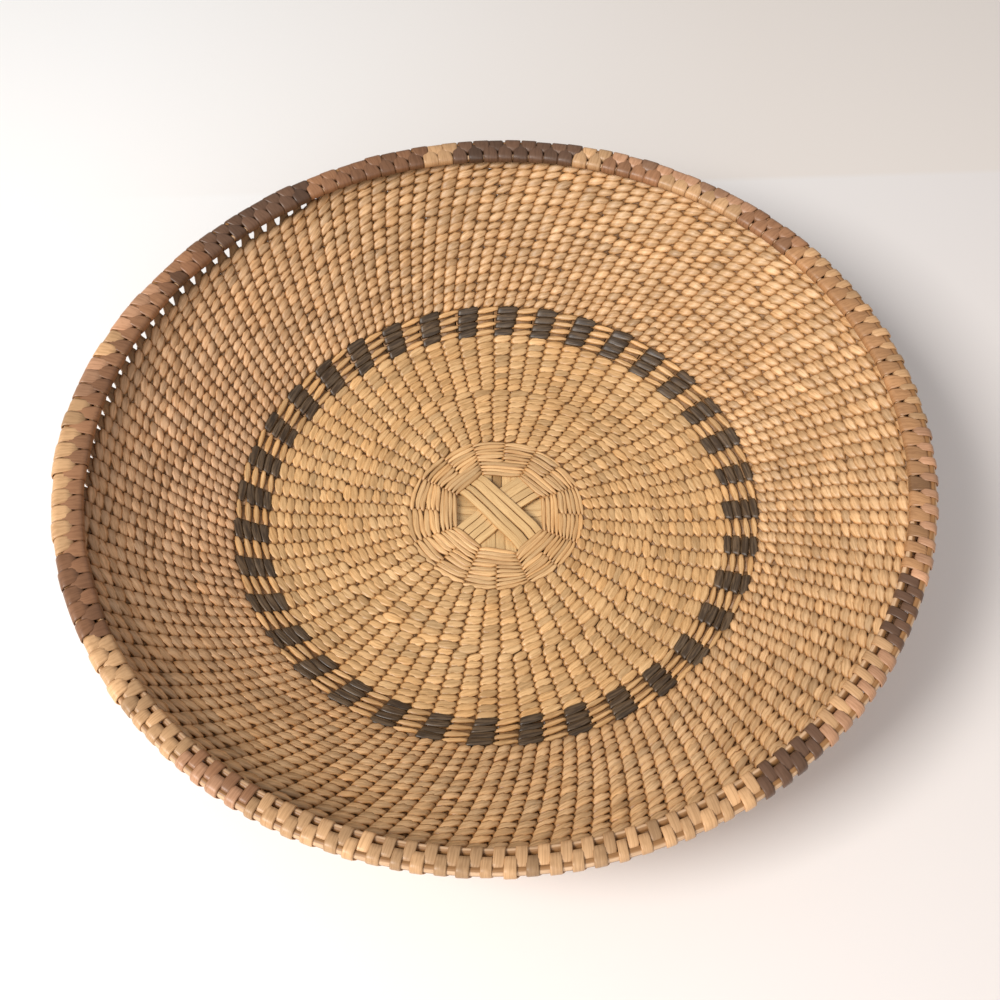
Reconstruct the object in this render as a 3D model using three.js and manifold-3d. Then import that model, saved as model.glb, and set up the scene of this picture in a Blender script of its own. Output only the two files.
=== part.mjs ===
import * as THREE from "three";
import { mergeGeometries, mergeVertices } from "three/addons/utils/BufferGeometryUtils.js";
import Module from "manifold-3d";

// A shallow round basket, twined outward from a cross of flat strips, with a dashed
// dark band round the foot of the wall and a rim of two hoops lashed side by side.
// +Z is up, the origin is under the middle of the base, lengths are in millimetres
// and angles in degrees.

const clearance = 0.3; // the gap kept wherever one piece lies on another

// The bowl: a flat floor, then a foot arc and a wall arc, given at the middle of the weave.
const rimRadius = 165; // the outer edge of the lashed rim
const overallHeight = 60.5;
const floorRadius = 67;
const wallFootRadius = 108.4;
const wallFootSlope = 30;
const wallTopInset = 8; // from the rim's outer edge in to the top of the weave
const wallTopDrop = 11.1; // from the top of the rim down to the top of the weave

// The start: four bundles of flat strips laid across each other, the top one first.
const bundleTurns = [130, 40, 90, 0];
const stripsPerBundle = 4;
const stripWidth = 2.65;
const stripThickness = 0.925;
const stripDip = 3; // the run in which a strip leaves its layer for the middle of the weave

// The binding rounds that hold the arms of the cross, measured to the middle of a side.
const firstBindingGap = 1.6; // from where the bundles stop crossing to the first round
const firstBindingWidth = 7;
const firstBindingSides = 8;
const firstBindingStrands = 3;
const firstBindingTurn = 20; // where a corner of the eight-sided round lies
const secondBindingWidth = 11;
const secondBindingSides = 16;
const secondBindingStrands = 4;
const strandRise = 0.55; // how far a binding strand stands above the furrow beside it

// The twined weave, which rises in a rib over each column of stitches.
const ribInset = 0.2; // how far a rib stays below the face of the weave
const ribRise = 1.6; // how far it stands above the furrow beside it
const floorSteps = 1; // rows of faces across each zone of the weave
const footSteps = 2;
const wallSteps = 2;
const innerColumns = 48;
const splitRadius = 66; // spokes are added here, so the columns become narrower
const outerColumns = 72;
const baseColumnTurn = -3.44; // where the middle of a column of the base lies
const wallColumns = 144;
const wallColumnTurn = -4.69; // where the middle of a column lies at the foot of the wall
const wallLean = -7.5; // how far the columns turn on their way up the wall

// The dashed band: one dark weaver, over every second spoke and under the next.
const bandWidth = 13.4; // from the foot of the wall in to the edge of the base weave
const darkBlocks = 36;
const darkTurn = baseColumnTurn; // where the middle of a dark block lies
const darkShare = 0.57; // the part of each pair of blocks that is dark
const darkThickness = 1.5;
const darkDip = 1.2; // the run in which the weaver goes from face to face
const bandSpokeThickness = 1.7;

// The open row under the rim, crossed by the bare spokes.
const openSpokes = 48;
const spokeWidth = 3;
const spokeThickness = 1.1;

// The rim: two hoops side by side, lashed in a figure of eight.
const hoopWidth = 3.8;
const hoopHeight = 3.4;
const rimTilt = 15; // the outer hoop lies a little higher
const lashThickness = 0.7;
const lashWidth = 6.2;
const lashWraps = 72;
const lashRuns = 4; // up between the hoops, over the outer one, up again, over the inner one

const rootDepth = 1.5; // how deep a spoke starts inside the weave that carries it

const { degToRad, radToDeg, clamp, lerp } = THREE.MathUtils;
const sine = (degrees) => Math.sin(degToRad(degrees));
const cosine = (degrees) => Math.cos(degToRad(degrees));

const wasm = await Module();
wasm.setup();

// What follows from the sizes above.
const layers = bundleTurns.length;
const layerStep = stripThickness + clearance;
const weaveThickness = layers * stripThickness + (layers - 1) * clearance;
const footArcRadius = (wallFootRadius - floorRadius) / sine(wallFootSlope);
const footHeight = footArcRadius * (1 - cosine(wallFootSlope));
const wallTopRadius = rimRadius - wallTopInset;
const wallRun = wallTopRadius - wallFootRadius;
const wallHeight = overallHeight - wallTopDrop - footHeight - weaveThickness / 2;
const wallTopSlope = 2 * radToDeg(Math.atan2(wallHeight, wallRun)) - wallFootSlope;
const wallArcRadius = wallRun / (sine(wallTopSlope) - sine(wallFootSlope));

// A point of the bowl at a radius, raised from the middle of the weave towards the inside.
function bowlPoint(radius, raised = 0) {
  const onFoot = clamp(radius - floorRadius, 0, wallFootRadius - floorRadius);
  const onWall = Math.max(radius - wallFootRadius, 0);
  const footAngle = Math.asin(onFoot / footArcRadius);
  const wallAngle = Math.asin(sine(wallFootSlope) + onWall / wallArcRadius);
  const slope = onWall > 0 ? wallAngle : footAngle;
  const footRise = footArcRadius * (1 - Math.cos(footAngle));
  const wallRise = onWall > 0 ? wallArcRadius * (cosine(wallFootSlope) - Math.cos(wallAngle)) : 0;
  const height = weaveThickness / 2 + footRise + wallRise;
  return new THREE.Vector2(radius - Math.sin(slope) * raised, height + Math.cos(slope) * raised);
}

// Puts a point of the section at a turn round the basket's axis.
function swing(point, turn) {
  return new THREE.Vector3(point.x * cosine(turn), point.x * sine(turn), point.y);
}

// A ring turned about +Z from a closed section, with its first corner at a turn.
function turned(section, sides, firstTurn = 0) {
  const outline = [...section, section[0].clone()];
  return new THREE.LatheGeometry(outline, sides, degToRad(firstTurn + 90)).rotateX(Math.PI / 2);
}

// A closed ring lofted through sections that all have the same number of corners.
function loftedRing(sections) {
  const corners = sections[0].length;
  const index = [];
  for (let s = 0; s < sections.length; s++) {
    const next = (s + 1) % sections.length;
    for (let c = 0; c < corners; c++) {
      const across = (c + 1) % corners;
      const here = [s * corners + c, s * corners + across];
      const there = [next * corners + c, next * corners + across];
      index.push(here[0], there[0], here[1], here[1], there[0], there[1]);
    }
  }
  const geometry = new THREE.BufferGeometry().setFromPoints(sections.flat());
  geometry.setIndex(index);
  geometry.computeVertexNormals();
  return geometry;
}

function toSolid(geometry) {
  const bare = geometry.clone();
  bare.deleteAttribute("normal");
  bare.deleteAttribute("uv");
  const merged = mergeVertices(bare, 1e-4);
  return new wasm.Manifold(
    new wasm.Mesh({
      numProp: 3,
      vertProperties: merged.attributes.position.array,
      triVerts: new Uint32Array(merged.index.array),
    }),
  );
}

function toGeometry(solid) {
  const mesh = solid.getMesh();
  const geometry = new THREE.BufferGeometry();
  geometry.setAttribute("position", new THREE.BufferAttribute(mesh.vertProperties, mesh.numProp));
  geometry.setIndex(new THREE.BufferAttribute(mesh.triVerts, 1));
  const faceted = geometry.toNonIndexed();
  faceted.computeVertexNormals();
  return faceted;
}

const basket = new THREE.Group();

function addPiece(name, geometry, finish) {
  const mesh = new THREE.Mesh(geometry, new THREE.MeshStandardMaterial(finish));
  mesh.name = name;
  basket.add(mesh);
  return mesh;
}

const paleStrip = { color: 0xd8b980, roughness: 0.55, metalness: 0 };
const goldenWeave = { color: 0xc99d66, roughness: 0.65, metalness: 0 };
const wallWeave = { color: 0xb98a5c, roughness: 0.65, metalness: 0 };
const darkDyed = { color: 0x3d332c, roughness: 0.6, metalness: 0 };
const hoopCane = { color: 0xb58a58, roughness: 0.6, metalness: 0 };
const lashSplint = { color: 0xc08f5e, roughness: 0.55, metalness: 0 };

// Start cross. The arms of two bundles part where their edges stop crossing.
const bundleWidth = stripsPerBundle * stripWidth + (stripsPerBundle - 1) * clearance;
const sortedTurns = [...bundleTurns].sort((a, b) => a - b);
const armTurns = sortedTurns.map((turn, i) => (sortedTurns[i + 1] ?? sortedTurns[0] + 180) - turn);
const closestArms = Math.min(...armTurns);
const crossingReach = (bundleWidth / 2 + clearance) / Math.tan(degToRad(closestArms / 2));
const dipEnd = crossingReach + stripDip;
const firstBindingInner = crossingReach + firstBindingGap;
const firstBindingOuter = firstBindingInner + firstBindingWidth;
const secondBindingOuter = firstBindingOuter + clearance + secondBindingWidth;
const stripReach = secondBindingOuter - clearance;

// The side view of a strip that crosses in its own layer and dips to the weave's middle.
function stripSide(layer, grown) {
  const middle = weaveThickness / 2;
  const level = stripThickness / 2 + (layers - 1 - layer) * layerStep;
  const half = stripThickness / 2 + grown;
  const reach = stripReach + grown;
  const line = [
    [-reach, middle],
    [-dipEnd, middle],
    [-crossingReach, level],
    [crossingReach, level],
    [dipEnd, middle],
    [reach, middle],
  ];
  const upper = line.map(([x, z]) => new THREE.Vector2(x, z + half));
  const lower = line.map(([x, z]) => new THREE.Vector2(x, z - half));
  return new THREE.Shape([...lower, ...upper.reverse()]);
}

// Part of a bundle: its side view extruded across a width, at a place beside the middle line.
function bundlePart(layer, across, width, grown = 0) {
  const geometry = new THREE.ExtrudeGeometry(stripSide(layer, grown), {
    depth: width + 2 * grown,
    bevelEnabled: false,
  });
  geometry.rotateX(Math.PI / 2);
  geometry.translate(0, across + width + grown, 0);
  return geometry.rotateZ(degToRad(bundleTurns[layer]));
}

const bundleNames = ["top", "second", "third", "bottom"];

function addStartCross() {
  for (let layer = 0; layer < layers; layer++) {
    for (let i = 0; i < stripsPerBundle; i++) {
      const across = -bundleWidth / 2 + i * (stripWidth + clearance);
      const name = `start_${bundleNames[layer]}_strip_${i + 1}`;
      addPiece(name, bundlePart(layer, across, stripWidth), paleStrip);
    }
  }
}

// A binding round: a ring with straight sides over the arms and a ridge for each strand.
function bindingRing(inner, outer, sides, strands, firstTurn) {
  const toCorner = 1 / cosine(180 / sides);
  const section = [new THREE.Vector2(inner * toCorner, 0)];
  for (let i = 0; i <= 2 * strands; i++) {
    const radius = lerp(inner, outer, i / (2 * strands)) * toCorner;
    const ridge = i % 2 === 1 ? strandRise : 0;
    section.push(new THREE.Vector2(radius, weaveThickness + ridge));
  }
  section.push(new THREE.Vector2(outer * toCorner, 0));
  return toSolid(turned(section.reverse(), sides, firstTurn));
}

function addBindings() {
  const arms = bundleTurns.map((turn, layer) =>
    toSolid(bundlePart(layer, -bundleWidth / 2, bundleWidth, clearance)),
  );
  const cutArms = (ring) => arms.reduce((left, arm) => left.subtract(arm), ring);

  const first = bindingRing(
    firstBindingInner,
    firstBindingOuter,
    firstBindingSides,
    firstBindingStrands,
    firstBindingTurn,
  );
  addPiece("first_binding", toGeometry(cutArms(first)), goldenWeave);

  const secondInner = firstBindingOuter + clearance;
  const second = bindingRing(
    secondInner,
    secondBindingOuter,
    secondBindingSides,
    secondBindingStrands,
    firstBindingTurn,
  );
  const room = secondInner / cosine(180 / firstBindingSides);
  const eightSided = [
    new THREE.Vector2(0, 2 * weaveThickness),
    new THREE.Vector2(0, -weaveThickness),
    new THREE.Vector2(room, -weaveThickness),
    new THREE.Vector2(room, 2 * weaveThickness),
  ];
  const seat = toSolid(turned(eightSided, firstBindingSides, firstBindingTurn));
  addPiece("second_binding", toGeometry(cutArms(second.subtract(seat))), goldenWeave);
}

// A ring of twined weave between two radii, with a rib over each column of stitches. The
// ribs may rise from an even edge, and the underside may be flat. The section runs outward
// along the inside and comes back along the outside.
function wovenRing({ radiusAt, columns, columnTurn, lean = 0, steps, evenEdge, flatUnder }) {
  const corners = [];
  for (let step = 0; step <= steps; step++) {
    corners.push({ part: step / steps, side: 1 });
  }
  for (let step = steps; step >= 0; step--) {
    corners.push({ part: step / steps, side: -1 });
  }
  const face = weaveThickness / 2;
  const crest = face - ribInset;
  const sections = [];
  for (let half = 2 * columns; half > 0; half--) {
    const rise = half % 2 === 0 ? 0 : ribRise;
    const turn = columnTurn + (180 / columns) * half;
    const section = corners.map(({ part, side }) => {
      const furrow = evenEdge && part === 0 ? 0 : rise;
      const raised = flatUnder && side < 0 ? face : crest - furrow;
      return swing(bowlPoint(radiusAt(part), side * raised), turn + lean * part);
    });
    sections.push(section);
  }
  return loftedRing(sections);
}

const toBaseCorner = 1 / cosine(90 / innerColumns);
const baseStart = (secondBindingOuter / cosine(180 / secondBindingSides) + clearance) * toBaseCorner;
const bandStartRadius = wallFootRadius - bandWidth;

function addBaseWeave() {
  const inner = wovenRing({
    radiusAt: (part) => lerp(baseStart, splitRadius, part),
    columns: innerColumns,
    columnTurn: baseColumnTurn,
    steps: floorSteps,
    evenEdge: false,
    flatUnder: true,
  });
  addPiece("base_weave_inner", inner, goldenWeave);

  const outerStart = (splitRadius + clearance) / cosine(90 / outerColumns);
  const outer = wovenRing({
    radiusAt: (part) => lerp(outerStart, bandStartRadius, part),
    columns: outerColumns,
    columnTurn: baseColumnTurn,
    steps: footSteps,
    evenEdge: false,
    flatUnder: false,
  });
  addPiece("base_weave_outer", outer, goldenWeave);
}

// A straight bar of spoke from one point of the section to another, at a turn.
function spokeBar(from, to, width, thickness, turn) {
  const run = new THREE.Vector2().subVectors(to, from);
  const middle = new THREE.Vector2().addVectors(from, to).multiplyScalar(0.5);
  const bar = new THREE.BoxGeometry(run.length(), width, thickness);
  bar.rotateY(-run.angle());
  bar.translate(middle.x, 0, middle.y);
  return bar.rotateZ(degToRad(turn));
}

// Rim measures, shared by the hoops, the lashing and the spokes under them.
const hoopSpacing = hoopWidth + lashThickness + 2 * clearance;
const lashReach = hoopSpacing / 2 + hoopWidth / 2 + clearance + lashThickness / 2;
const lashLevel = hoopHeight / 2 + clearance + lashThickness / 2;
const lashOutside = lashThickness / 2;
const rimCentre = new THREE.Vector2(
  rimRadius - (lashReach + lashOutside) * cosine(rimTilt),
  overallHeight - (lashReach + lashOutside) * sine(rimTilt) - (lashLevel + lashOutside) * cosine(rimTilt),
);

// A point of the rim's section, in the tilted frame of the two hoops.
function rimPoint(across, up) {
  return new THREE.Vector2(
    rimCentre.x + across * cosine(rimTilt) - up * sine(rimTilt),
    rimCentre.y + across * sine(rimTilt) + up * cosine(rimTilt),
  );
}

const blockTurn = 360 / darkBlocks;
const darkHalf = (blockTurn * darkShare) / 2;
const bandInnerEdge = (bandStartRadius + clearance) / cosine(blockTurn / 4);
const bandMiddle = (bandStartRadius + wallFootRadius) / 2;
const toTurn = (length) => radToDeg(length / bandMiddle);
const bandLevel = clearance / 2 + bandSpokeThickness / 2;

// The wall, with the spokes that carry the band below it and the open row above it.
function addWall() {
  const wallStart = wallFootRadius + clearance;
  const slopeAt = (part) => lerp(wallFootSlope, wallTopSlope, part);
  const along = (part) => wallFootRadius + wallArcRadius * (sine(slopeAt(part)) - sine(wallFootSlope));
  const ring = wovenRing({
    radiusAt: (part) => Math.max(along(part), wallStart),
    columns: wallColumns,
    columnTurn: wallColumnTurn,
    lean: wallLean,
    steps: wallSteps,
    evenEdge: true,
    flatUnder: false,
  });

  const bars = [];
  const bandRoom = toTurn(darkDip + 2 * clearance);
  const lightWidth = 2 * (blockTurn / 2 - darkHalf) - bandRoom;
  const darkWidth = 2 * darkHalf - bandRoom;
  for (let block = 0; block < darkBlocks; block++) {
    const turn = darkTurn + block * blockTurn;
    for (const [side, at, wide] of [
      [-1, turn, darkWidth],
      [1, turn + blockTurn / 2, lightWidth],
    ]) {
      const root = bowlPoint(wallStart + rootDepth, side * bandLevel);
      const tip = bowlPoint(bandInnerEdge, side * bandLevel);
      bars.push(spokeBar(tip, root, degToRad(wide) * bandMiddle, bandSpokeThickness, at));
    }
  }

  const underLash = rimPoint(-hoopSpacing / 2, -lashLevel - lashOutside);
  const tip = new THREE.Vector2(rimCentre.x, underLash.y - clearance - spokeThickness / 2);
  const root = bowlPoint(wallTopRadius - rootDepth);
  for (let spoke = 0; spoke < openSpokes; spoke++) {
    const turn = wallColumnTurn + wallLean + (360 / openSpokes) * spoke;
    bars.push(spokeBar(root, tip, spokeWidth, spokeThickness, turn));
  }
  const spokes = toSolid(mergeGeometries(bars));
  addPiece("wall_weave", toGeometry(toSolid(ring).add(spokes)), wallWeave);
}

// The dark weaver: a flat ring that lies over the dark blocks' spokes and under the others.
function addDarkWeaver() {
  const level = clearance / 2 + darkThickness / 2;
  const halfDip = toTurn(darkDip) / 2;
  const outerEdge = (wallFootRadius - clearance) * cosine(blockTurn / 4);
  const sections = [];
  for (let block = 0; block < darkBlocks; block++) {
    const turn = darkTurn + block * blockTurn;
    for (const [at, side] of [
      [turn - darkHalf + halfDip, 1],
      [turn + darkHalf - halfDip, 1],
      [turn + darkHalf + halfDip, -1],
      [turn + blockTurn - darkHalf - halfDip, -1],
    ]) {
      const above = side * level + darkThickness / 2;
      const below = side * level - darkThickness / 2;
      sections.push([
        swing(bowlPoint(bandInnerEdge, above), at),
        swing(bowlPoint(bandInnerEdge, below), at),
        swing(bowlPoint(outerEdge, below), at),
        swing(bowlPoint(outerEdge, above), at),
      ]);
    }
  }
  addPiece("band_dark_weaver", loftedRing(sections), darkDyed);
}

function addHoop(name, across) {
  const flat = hoopWidth / 4;
  const section = [
    [-hoopWidth / 2, 0],
    [-flat, -hoopHeight / 2],
    [flat, -hoopHeight / 2],
    [hoopWidth / 2, 0],
    [flat, hoopHeight / 2],
    [-flat, hoopHeight / 2],
  ].map(([x, up]) => rimPoint(across + x, up));
  addPiece(name, turned(section, lashWraps), hoopCane);
}

// The lashing: one flat splint, up between the hoops, over and round the outer one, up
// between them again, and over and round the inner one, for every wrap.
function addLashing() {
  const corners = [
    [0, -lashLevel],
    [0, lashLevel],
    [lashReach, lashLevel],
    [lashReach, -lashLevel],
    [0, -lashLevel],
    [0, lashLevel],
    [-lashReach, lashLevel],
    [-lashReach, -lashLevel],
  ].map(([x, y]) => new THREE.Vector2(x, y));
  const leftOf = (from, to) => {
    const run = new THREE.Vector2().subVectors(to, from).normalize();
    return new THREE.Vector2(-run.y, run.x);
  };
  const pitch = 360 / lashWraps;
  const halfTurn = radToDeg(lashWidth / 2 / rimCentre.x);
  const sections = [];
  for (let wrap = 0; wrap < lashWraps; wrap++) {
    corners.forEach((corner, i) => {
      const before = corners.at(i - 1);
      const after = corners[(i + 1) % corners.length];
      const mitre = leftOf(before, corner).add(leftOf(corner, after)).multiplyScalar(lashOutside);
      const turn = pitch * (wrap + Math.floor(i / 2) / lashRuns);
      const left = rimPoint(corner.x + mitre.x, corner.y + mitre.y);
      const right = rimPoint(corner.x - mitre.x, corner.y - mitre.y);
      sections.push([
        swing(left, turn - halfTurn),
        swing(left, turn + halfTurn),
        swing(right, turn + halfTurn),
        swing(right, turn - halfTurn),
      ]);
    });
  }
  addPiece("rim_lashing", loftedRing(sections), lashSplint);
}

addStartCross();
addBindings();
addBaseWeave();
addWall();
addDarkWeaver();
addHoop("rim_inner_hoop", -hoopSpacing / 2);
addHoop("rim_outer_hoop", hoopSpacing / 2);
addLashing();

export default basket;
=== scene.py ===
"""A shallow round basket, twined by hand from split splint.

The weave is laid strand by strand. Each kind of stitch is modelled once, flat, and its
copies are then laid round the bowl in courses, two strands twisting about the spokes.
Sizes are in millimetres and degrees, and Blender's own are metres and radians.
"""

import logging
import math
from contextlib import contextmanager
from dataclasses import dataclass, field
from enum import Enum
from typing import Callable, Iterable, Iterator

import bpy  # noqa: E402
import numpy as np  # noqa: E402
from mathutils import Matrix, Vector  # noqa: E402

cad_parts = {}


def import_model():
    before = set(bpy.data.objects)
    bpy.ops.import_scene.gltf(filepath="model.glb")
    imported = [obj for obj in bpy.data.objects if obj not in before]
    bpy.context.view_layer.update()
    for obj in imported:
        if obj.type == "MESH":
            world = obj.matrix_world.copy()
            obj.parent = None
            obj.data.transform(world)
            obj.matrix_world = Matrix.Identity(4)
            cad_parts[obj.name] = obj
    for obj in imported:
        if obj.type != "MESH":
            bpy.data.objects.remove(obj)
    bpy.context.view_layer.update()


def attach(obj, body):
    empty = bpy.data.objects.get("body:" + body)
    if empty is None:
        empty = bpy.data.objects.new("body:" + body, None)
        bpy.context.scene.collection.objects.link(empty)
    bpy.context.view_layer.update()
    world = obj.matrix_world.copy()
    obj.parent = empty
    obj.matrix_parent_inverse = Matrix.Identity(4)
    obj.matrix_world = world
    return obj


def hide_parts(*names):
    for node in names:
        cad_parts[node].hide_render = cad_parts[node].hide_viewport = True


log = logging.getLogger("basket")

Piece = bpy.types.Object
Mesh = bpy.types.Mesh
Material = bpy.types.Material
Socket = bpy.types.NodeSocket
Triple = tuple[float, float, float]
ByPlace = Callable[[np.ndarray], np.ndarray]

MM = 0.001
BODY = "root"
WELD = 1e-6  # how near in metres two points are merged
LEAST_TURN = 1e-9  # the least turn in radians that is made at all
FULL_TURN = 360.0
AXES = "XYZ"

LIE = "lie"  # a vertex's place across its strand, from -1 to 1
FIBRE = "fibre"  # the place along and across the strand, and which strand it is
TONE = "tone"  # how light or dark this stretch of the strand is
DYE_AND_SHADE = "dye"  # the splint's dye together with its painted shade, as a colour to multiply by

CREASE_SHADE = np.array([0.60, 0.45, 0.28])  # the brown of painted shade in creases and along strand edges, to multiply by; it also browns the start's darker strips
HUE_DRIFT = (-0.005, 0.015, 0.045)  # what red, green and blue lose as a stitch turns warmer
SLOW_COLUMNS = 6  # the columns over which the slow drift of a strand's tone changes
FEWEST_DRIFTS = 3  # how many such changes there are round a course at the least
FURTHEST = 2.0  # how many standard deviations an unevenness goes at most
NUDGE = 0.001  # what keeps a whole number of columns from rounding down
GRAIN_ACROSS = 1.5  # how far the grain of a flat strip goes on either side of its middle
STEADY = 0.97  # how nearly steady a strand's swing from side to side is, below 1


class Face(Enum):
    """The side of a twined course that a strand starts on."""

    INSIDE = 0
    OUTSIDE = 1


class RingPlane(Enum):
    """The plane of a strand's first section: its rotation, its wide axis and its normal."""

    ACROSS_THE_COURSE = ((0.0, math.pi / 2, 0.0), "Y", "X")
    ALONG_THE_RIM = ((math.pi / 2, 0.0, 0.0), "X", "Y")


def leave_nothing_selected() -> None:
    """Deselect every object, so that an operator acts on the new piece alone."""
    bpy.ops.object.select_all(action="DESELECT")


def make_active(piece: Piece) -> None:
    """Select one piece alone and make it the active one.

    Args:
        piece: The piece.
    """
    leave_nothing_selected()
    piece.select_set(True)
    bpy.context.view_layer.objects.active = piece


@contextmanager
def edit_mode(whole: bool = True, kind: str | None = None) -> Iterator[None]:
    """Open the active piece's mesh for editing, and close it again.

    Args:
        whole: Whether all of the mesh is selected first, or what was picked stays so.
        kind: What is selected from then on, "VERT" or "EDGE", where it changes.

    Yields:
        Nothing, while the mesh is open.
    """
    bpy.ops.object.mode_set(mode="EDIT")
    if kind is not None:
        bpy.ops.mesh.select_mode(type=kind)
    if whole:
        bpy.ops.mesh.select_all(action="SELECT")
    yield
    bpy.ops.object.mode_set(mode="OBJECT")


def settle(name: str, scale: Triple = (1.0, 1.0, 1.0)) -> Piece:
    """Name and size the primitive that was just added, and apply its place.

    Args:
        name: Its name.
        scale: How many times its first size it becomes along each axis.

    Returns:
        The primitive, with its object at the origin, unturned and unscaled.
    """
    piece = bpy.context.object
    piece.name = name
    piece.scale = scale
    bpy.ops.object.transform_apply(location=True, rotation=True, scale=True)
    return piece


def points_of(mesh: Mesh) -> np.ndarray:
    """Read a mesh's points.

    Args:
        mesh: The mesh.

    Returns:
        Its points, one row each.
    """
    points = np.zeros(len(mesh.vertices) * 3)
    mesh.vertices.foreach_get("co", points)
    return points.reshape(-1, 3)


def smooth_step(share: np.ndarray) -> np.ndarray:
    """Ease a share from 0 to 1 in and out, and hold it at both ends."""
    held = np.clip(share, 0.0, 1.0)
    return held * held * (3.0 - 2.0 * held)


def between(first: float, second: float, share: np.ndarray) -> np.ndarray:
    """Return what lies this share of the way from a first value to a second."""
    return first + (second - first) * share


def at_turn(turn: np.ndarray, radius: np.ndarray, height: np.ndarray) -> np.ndarray:
    """Return the points at these turns, radii and heights, one row each, in metres."""
    angle = np.radians(turn)
    return np.column_stack([radius * np.cos(angle), radius * np.sin(angle), height]) * MM


def crease_shaded(share: np.ndarray, crease_shade: np.ndarray = CREASE_SHADE) -> np.ndarray:
    """Return the colour to multiply by where this share of the painted crease shade's brown is put
    on.
    """
    return 1 + (crease_shade - 1) * share[:, None]


def fibre_note(along: np.ndarray, across: np.ndarray, number: float) -> np.ndarray:
    """Return the places along and across a splint, with the number that sets its grain."""
    return np.column_stack([along, across, np.full(len(along), number)])


@dataclass(frozen=True)
class Stretch:
    """A stretch of turns about a middle one, with soft ends."""

    middle: float
    half: float
    fade: float

    def past(self, turn: np.ndarray) -> np.ndarray:
        """Return 0 for turns on the stretch, rising to 1 over the fade past its ends."""
        from_middle = (turn - self.middle + FULL_TURN / 2) % FULL_TURN - FULL_TURN / 2
        return smooth_step((np.abs(from_middle) - self.half) / self.fade)


@dataclass(frozen=True)
class BowlProfile:
    """The section of the bowl at the middle of its weave.

    A point of the section is given by its run, the length along the section from the
    middle of the floor, and by how far it is raised from the middle of the weave
    towards the inside.
    """

    floor_radius: float = 67.0
    foot_radius: float = 108.4
    foot_slope: float = 30.0
    top_radius: float = 157.0
    top_height: float = 49.4
    thickness: float = 4.6
    far_lift: float = 3.97
    right_lift: float = 0.88
    close_rise: float = 3.6
    gape_drop: float = 0.9
    stretch_end: float = 1.1
    gape: Stretch = Stretch(155.0, 27.0, 14.0)

    @property
    def foot(self) -> float:
        """The slope where the wall starts, in radians."""
        return math.radians(self.foot_slope)

    @property
    def foot_bend(self) -> float:
        """The radius of the foot's arc."""
        return (self.foot_radius - self.floor_radius) / math.sin(self.foot)

    @property
    def foot_height(self) -> float:
        """The height of the weave's middle where the wall starts."""
        return self.thickness / 2 + self.foot_bend * (1 - math.cos(self.foot))

    @property
    def top_slope(self) -> float:
        """The slope at the top of the wall, in radians."""
        rise = self.top_height - self.foot_height
        return 2 * math.atan2(rise, self.top_radius - self.foot_radius) - self.foot

    @property
    def wall_bend(self) -> float:
        """The radius of the wall's arc."""
        spread = math.sin(self.top_slope) - math.sin(self.foot)
        return (self.top_radius - self.foot_radius) / spread

    @property
    def foot_run(self) -> float:
        """The run at which the wall starts."""
        return self.floor_radius + self.foot_bend * self.foot

    @property
    def top_run(self) -> float:
        """The run at the top of the wall's weave."""
        return self.foot_run + self.wall_bend * (self.top_slope - self.foot)

    def run_at(self, radius: float) -> float:
        """Find the run of a point of the floor or foot.

        Args:
            radius: The point's distance from the axis, up to the foot of the wall.

        Returns:
            The length along the section to that point.
        """
        past_floor = max(radius - self.floor_radius, 0.0)
        flat = min(radius, self.floor_radius)
        return flat + self.foot_bend * math.asin(past_floor / self.foot_bend)

    def slope(self, run: np.ndarray) -> np.ndarray:
        """Return the slope of the section at each run, in radians."""
        on_foot = np.clip((run - self.floor_radius) / self.foot_bend, 0.0, self.foot)
        return on_foot + np.maximum(run - self.foot_run, 0.0) / self.wall_bend

    def up_wall(self, run: np.ndarray) -> np.ndarray:
        """Return how far up the wall each run is, from 0 at its foot to 1 at its top."""
        return (run - self.foot_run) / (self.top_run - self.foot_run)

    def lift(self, turn: np.ndarray, run: np.ndarray) -> np.ndarray:
        """Find how far the uneven rim raises the wall.

        Args:
            turn: Each point's turn round the axis.
            run: Its length along the section.

        Returns:
            The rise of each point.
        """
        angle = np.radians(turn)
        uneven = self.far_lift * np.sin(angle) + self.right_lift * np.cos(angle)
        return smooth_step(self.up_wall(run)) * uneven

    def stretch(self, turn: np.ndarray, run: np.ndarray) -> np.ndarray:
        """Find how much further up the wall a course lies than an even weave's would.

        The weave comes close to the hoops, except at the left, where its open row gapes.

        Args:
            turn: Each point's turn round the axis.
            run: Its length along the section.

        Returns:
            The change of run.
        """
        share = np.clip(self.up_wall(run), 0.0, self.stretch_end)
        gape = 1 - self.gape.past(turn)
        return share * (self.close_rise - (self.close_rise + self.gape_drop) * gape)

    def place(self, turn: np.ndarray, run: np.ndarray, raised: np.ndarray) -> np.ndarray:
        """Place points on the bowl.

        Args:
            turn: Each point's turn round the axis, in degrees.
            run: Its length along the section.
            raised: How far it is raised towards the inside.

        Returns:
            The points, one row each, in metres.
        """
        slope = self.slope(run)
        on_foot = np.minimum(slope, self.foot)
        on_wall = np.maximum(slope, self.foot)
        radius = np.minimum(run, self.floor_radius) + self.foot_bend * np.sin(on_foot)
        height = self.thickness / 2 + self.foot_bend * (1 - np.cos(on_foot))
        radius = radius + self.wall_bend * (np.sin(on_wall) - math.sin(self.foot))
        height = height + self.wall_bend * (math.cos(self.foot) - np.cos(on_wall))
        radius = radius - np.sin(slope) * raised
        height = height + np.cos(slope) * raised + self.lift(turn, run)
        return at_turn(turn, radius, height)


@dataclass(frozen=True)
class Station:
    """One section of a strand: where it lies, how it is turned and how big it is."""

    at: Triple
    turn: float
    size: Triple


@dataclass(frozen=True)
class Pattern:
    """A modelled stretch of strand, read back as arrays to lay its copies from."""

    points: np.ndarray
    faces: np.ndarray
    lie: np.ndarray


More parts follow.
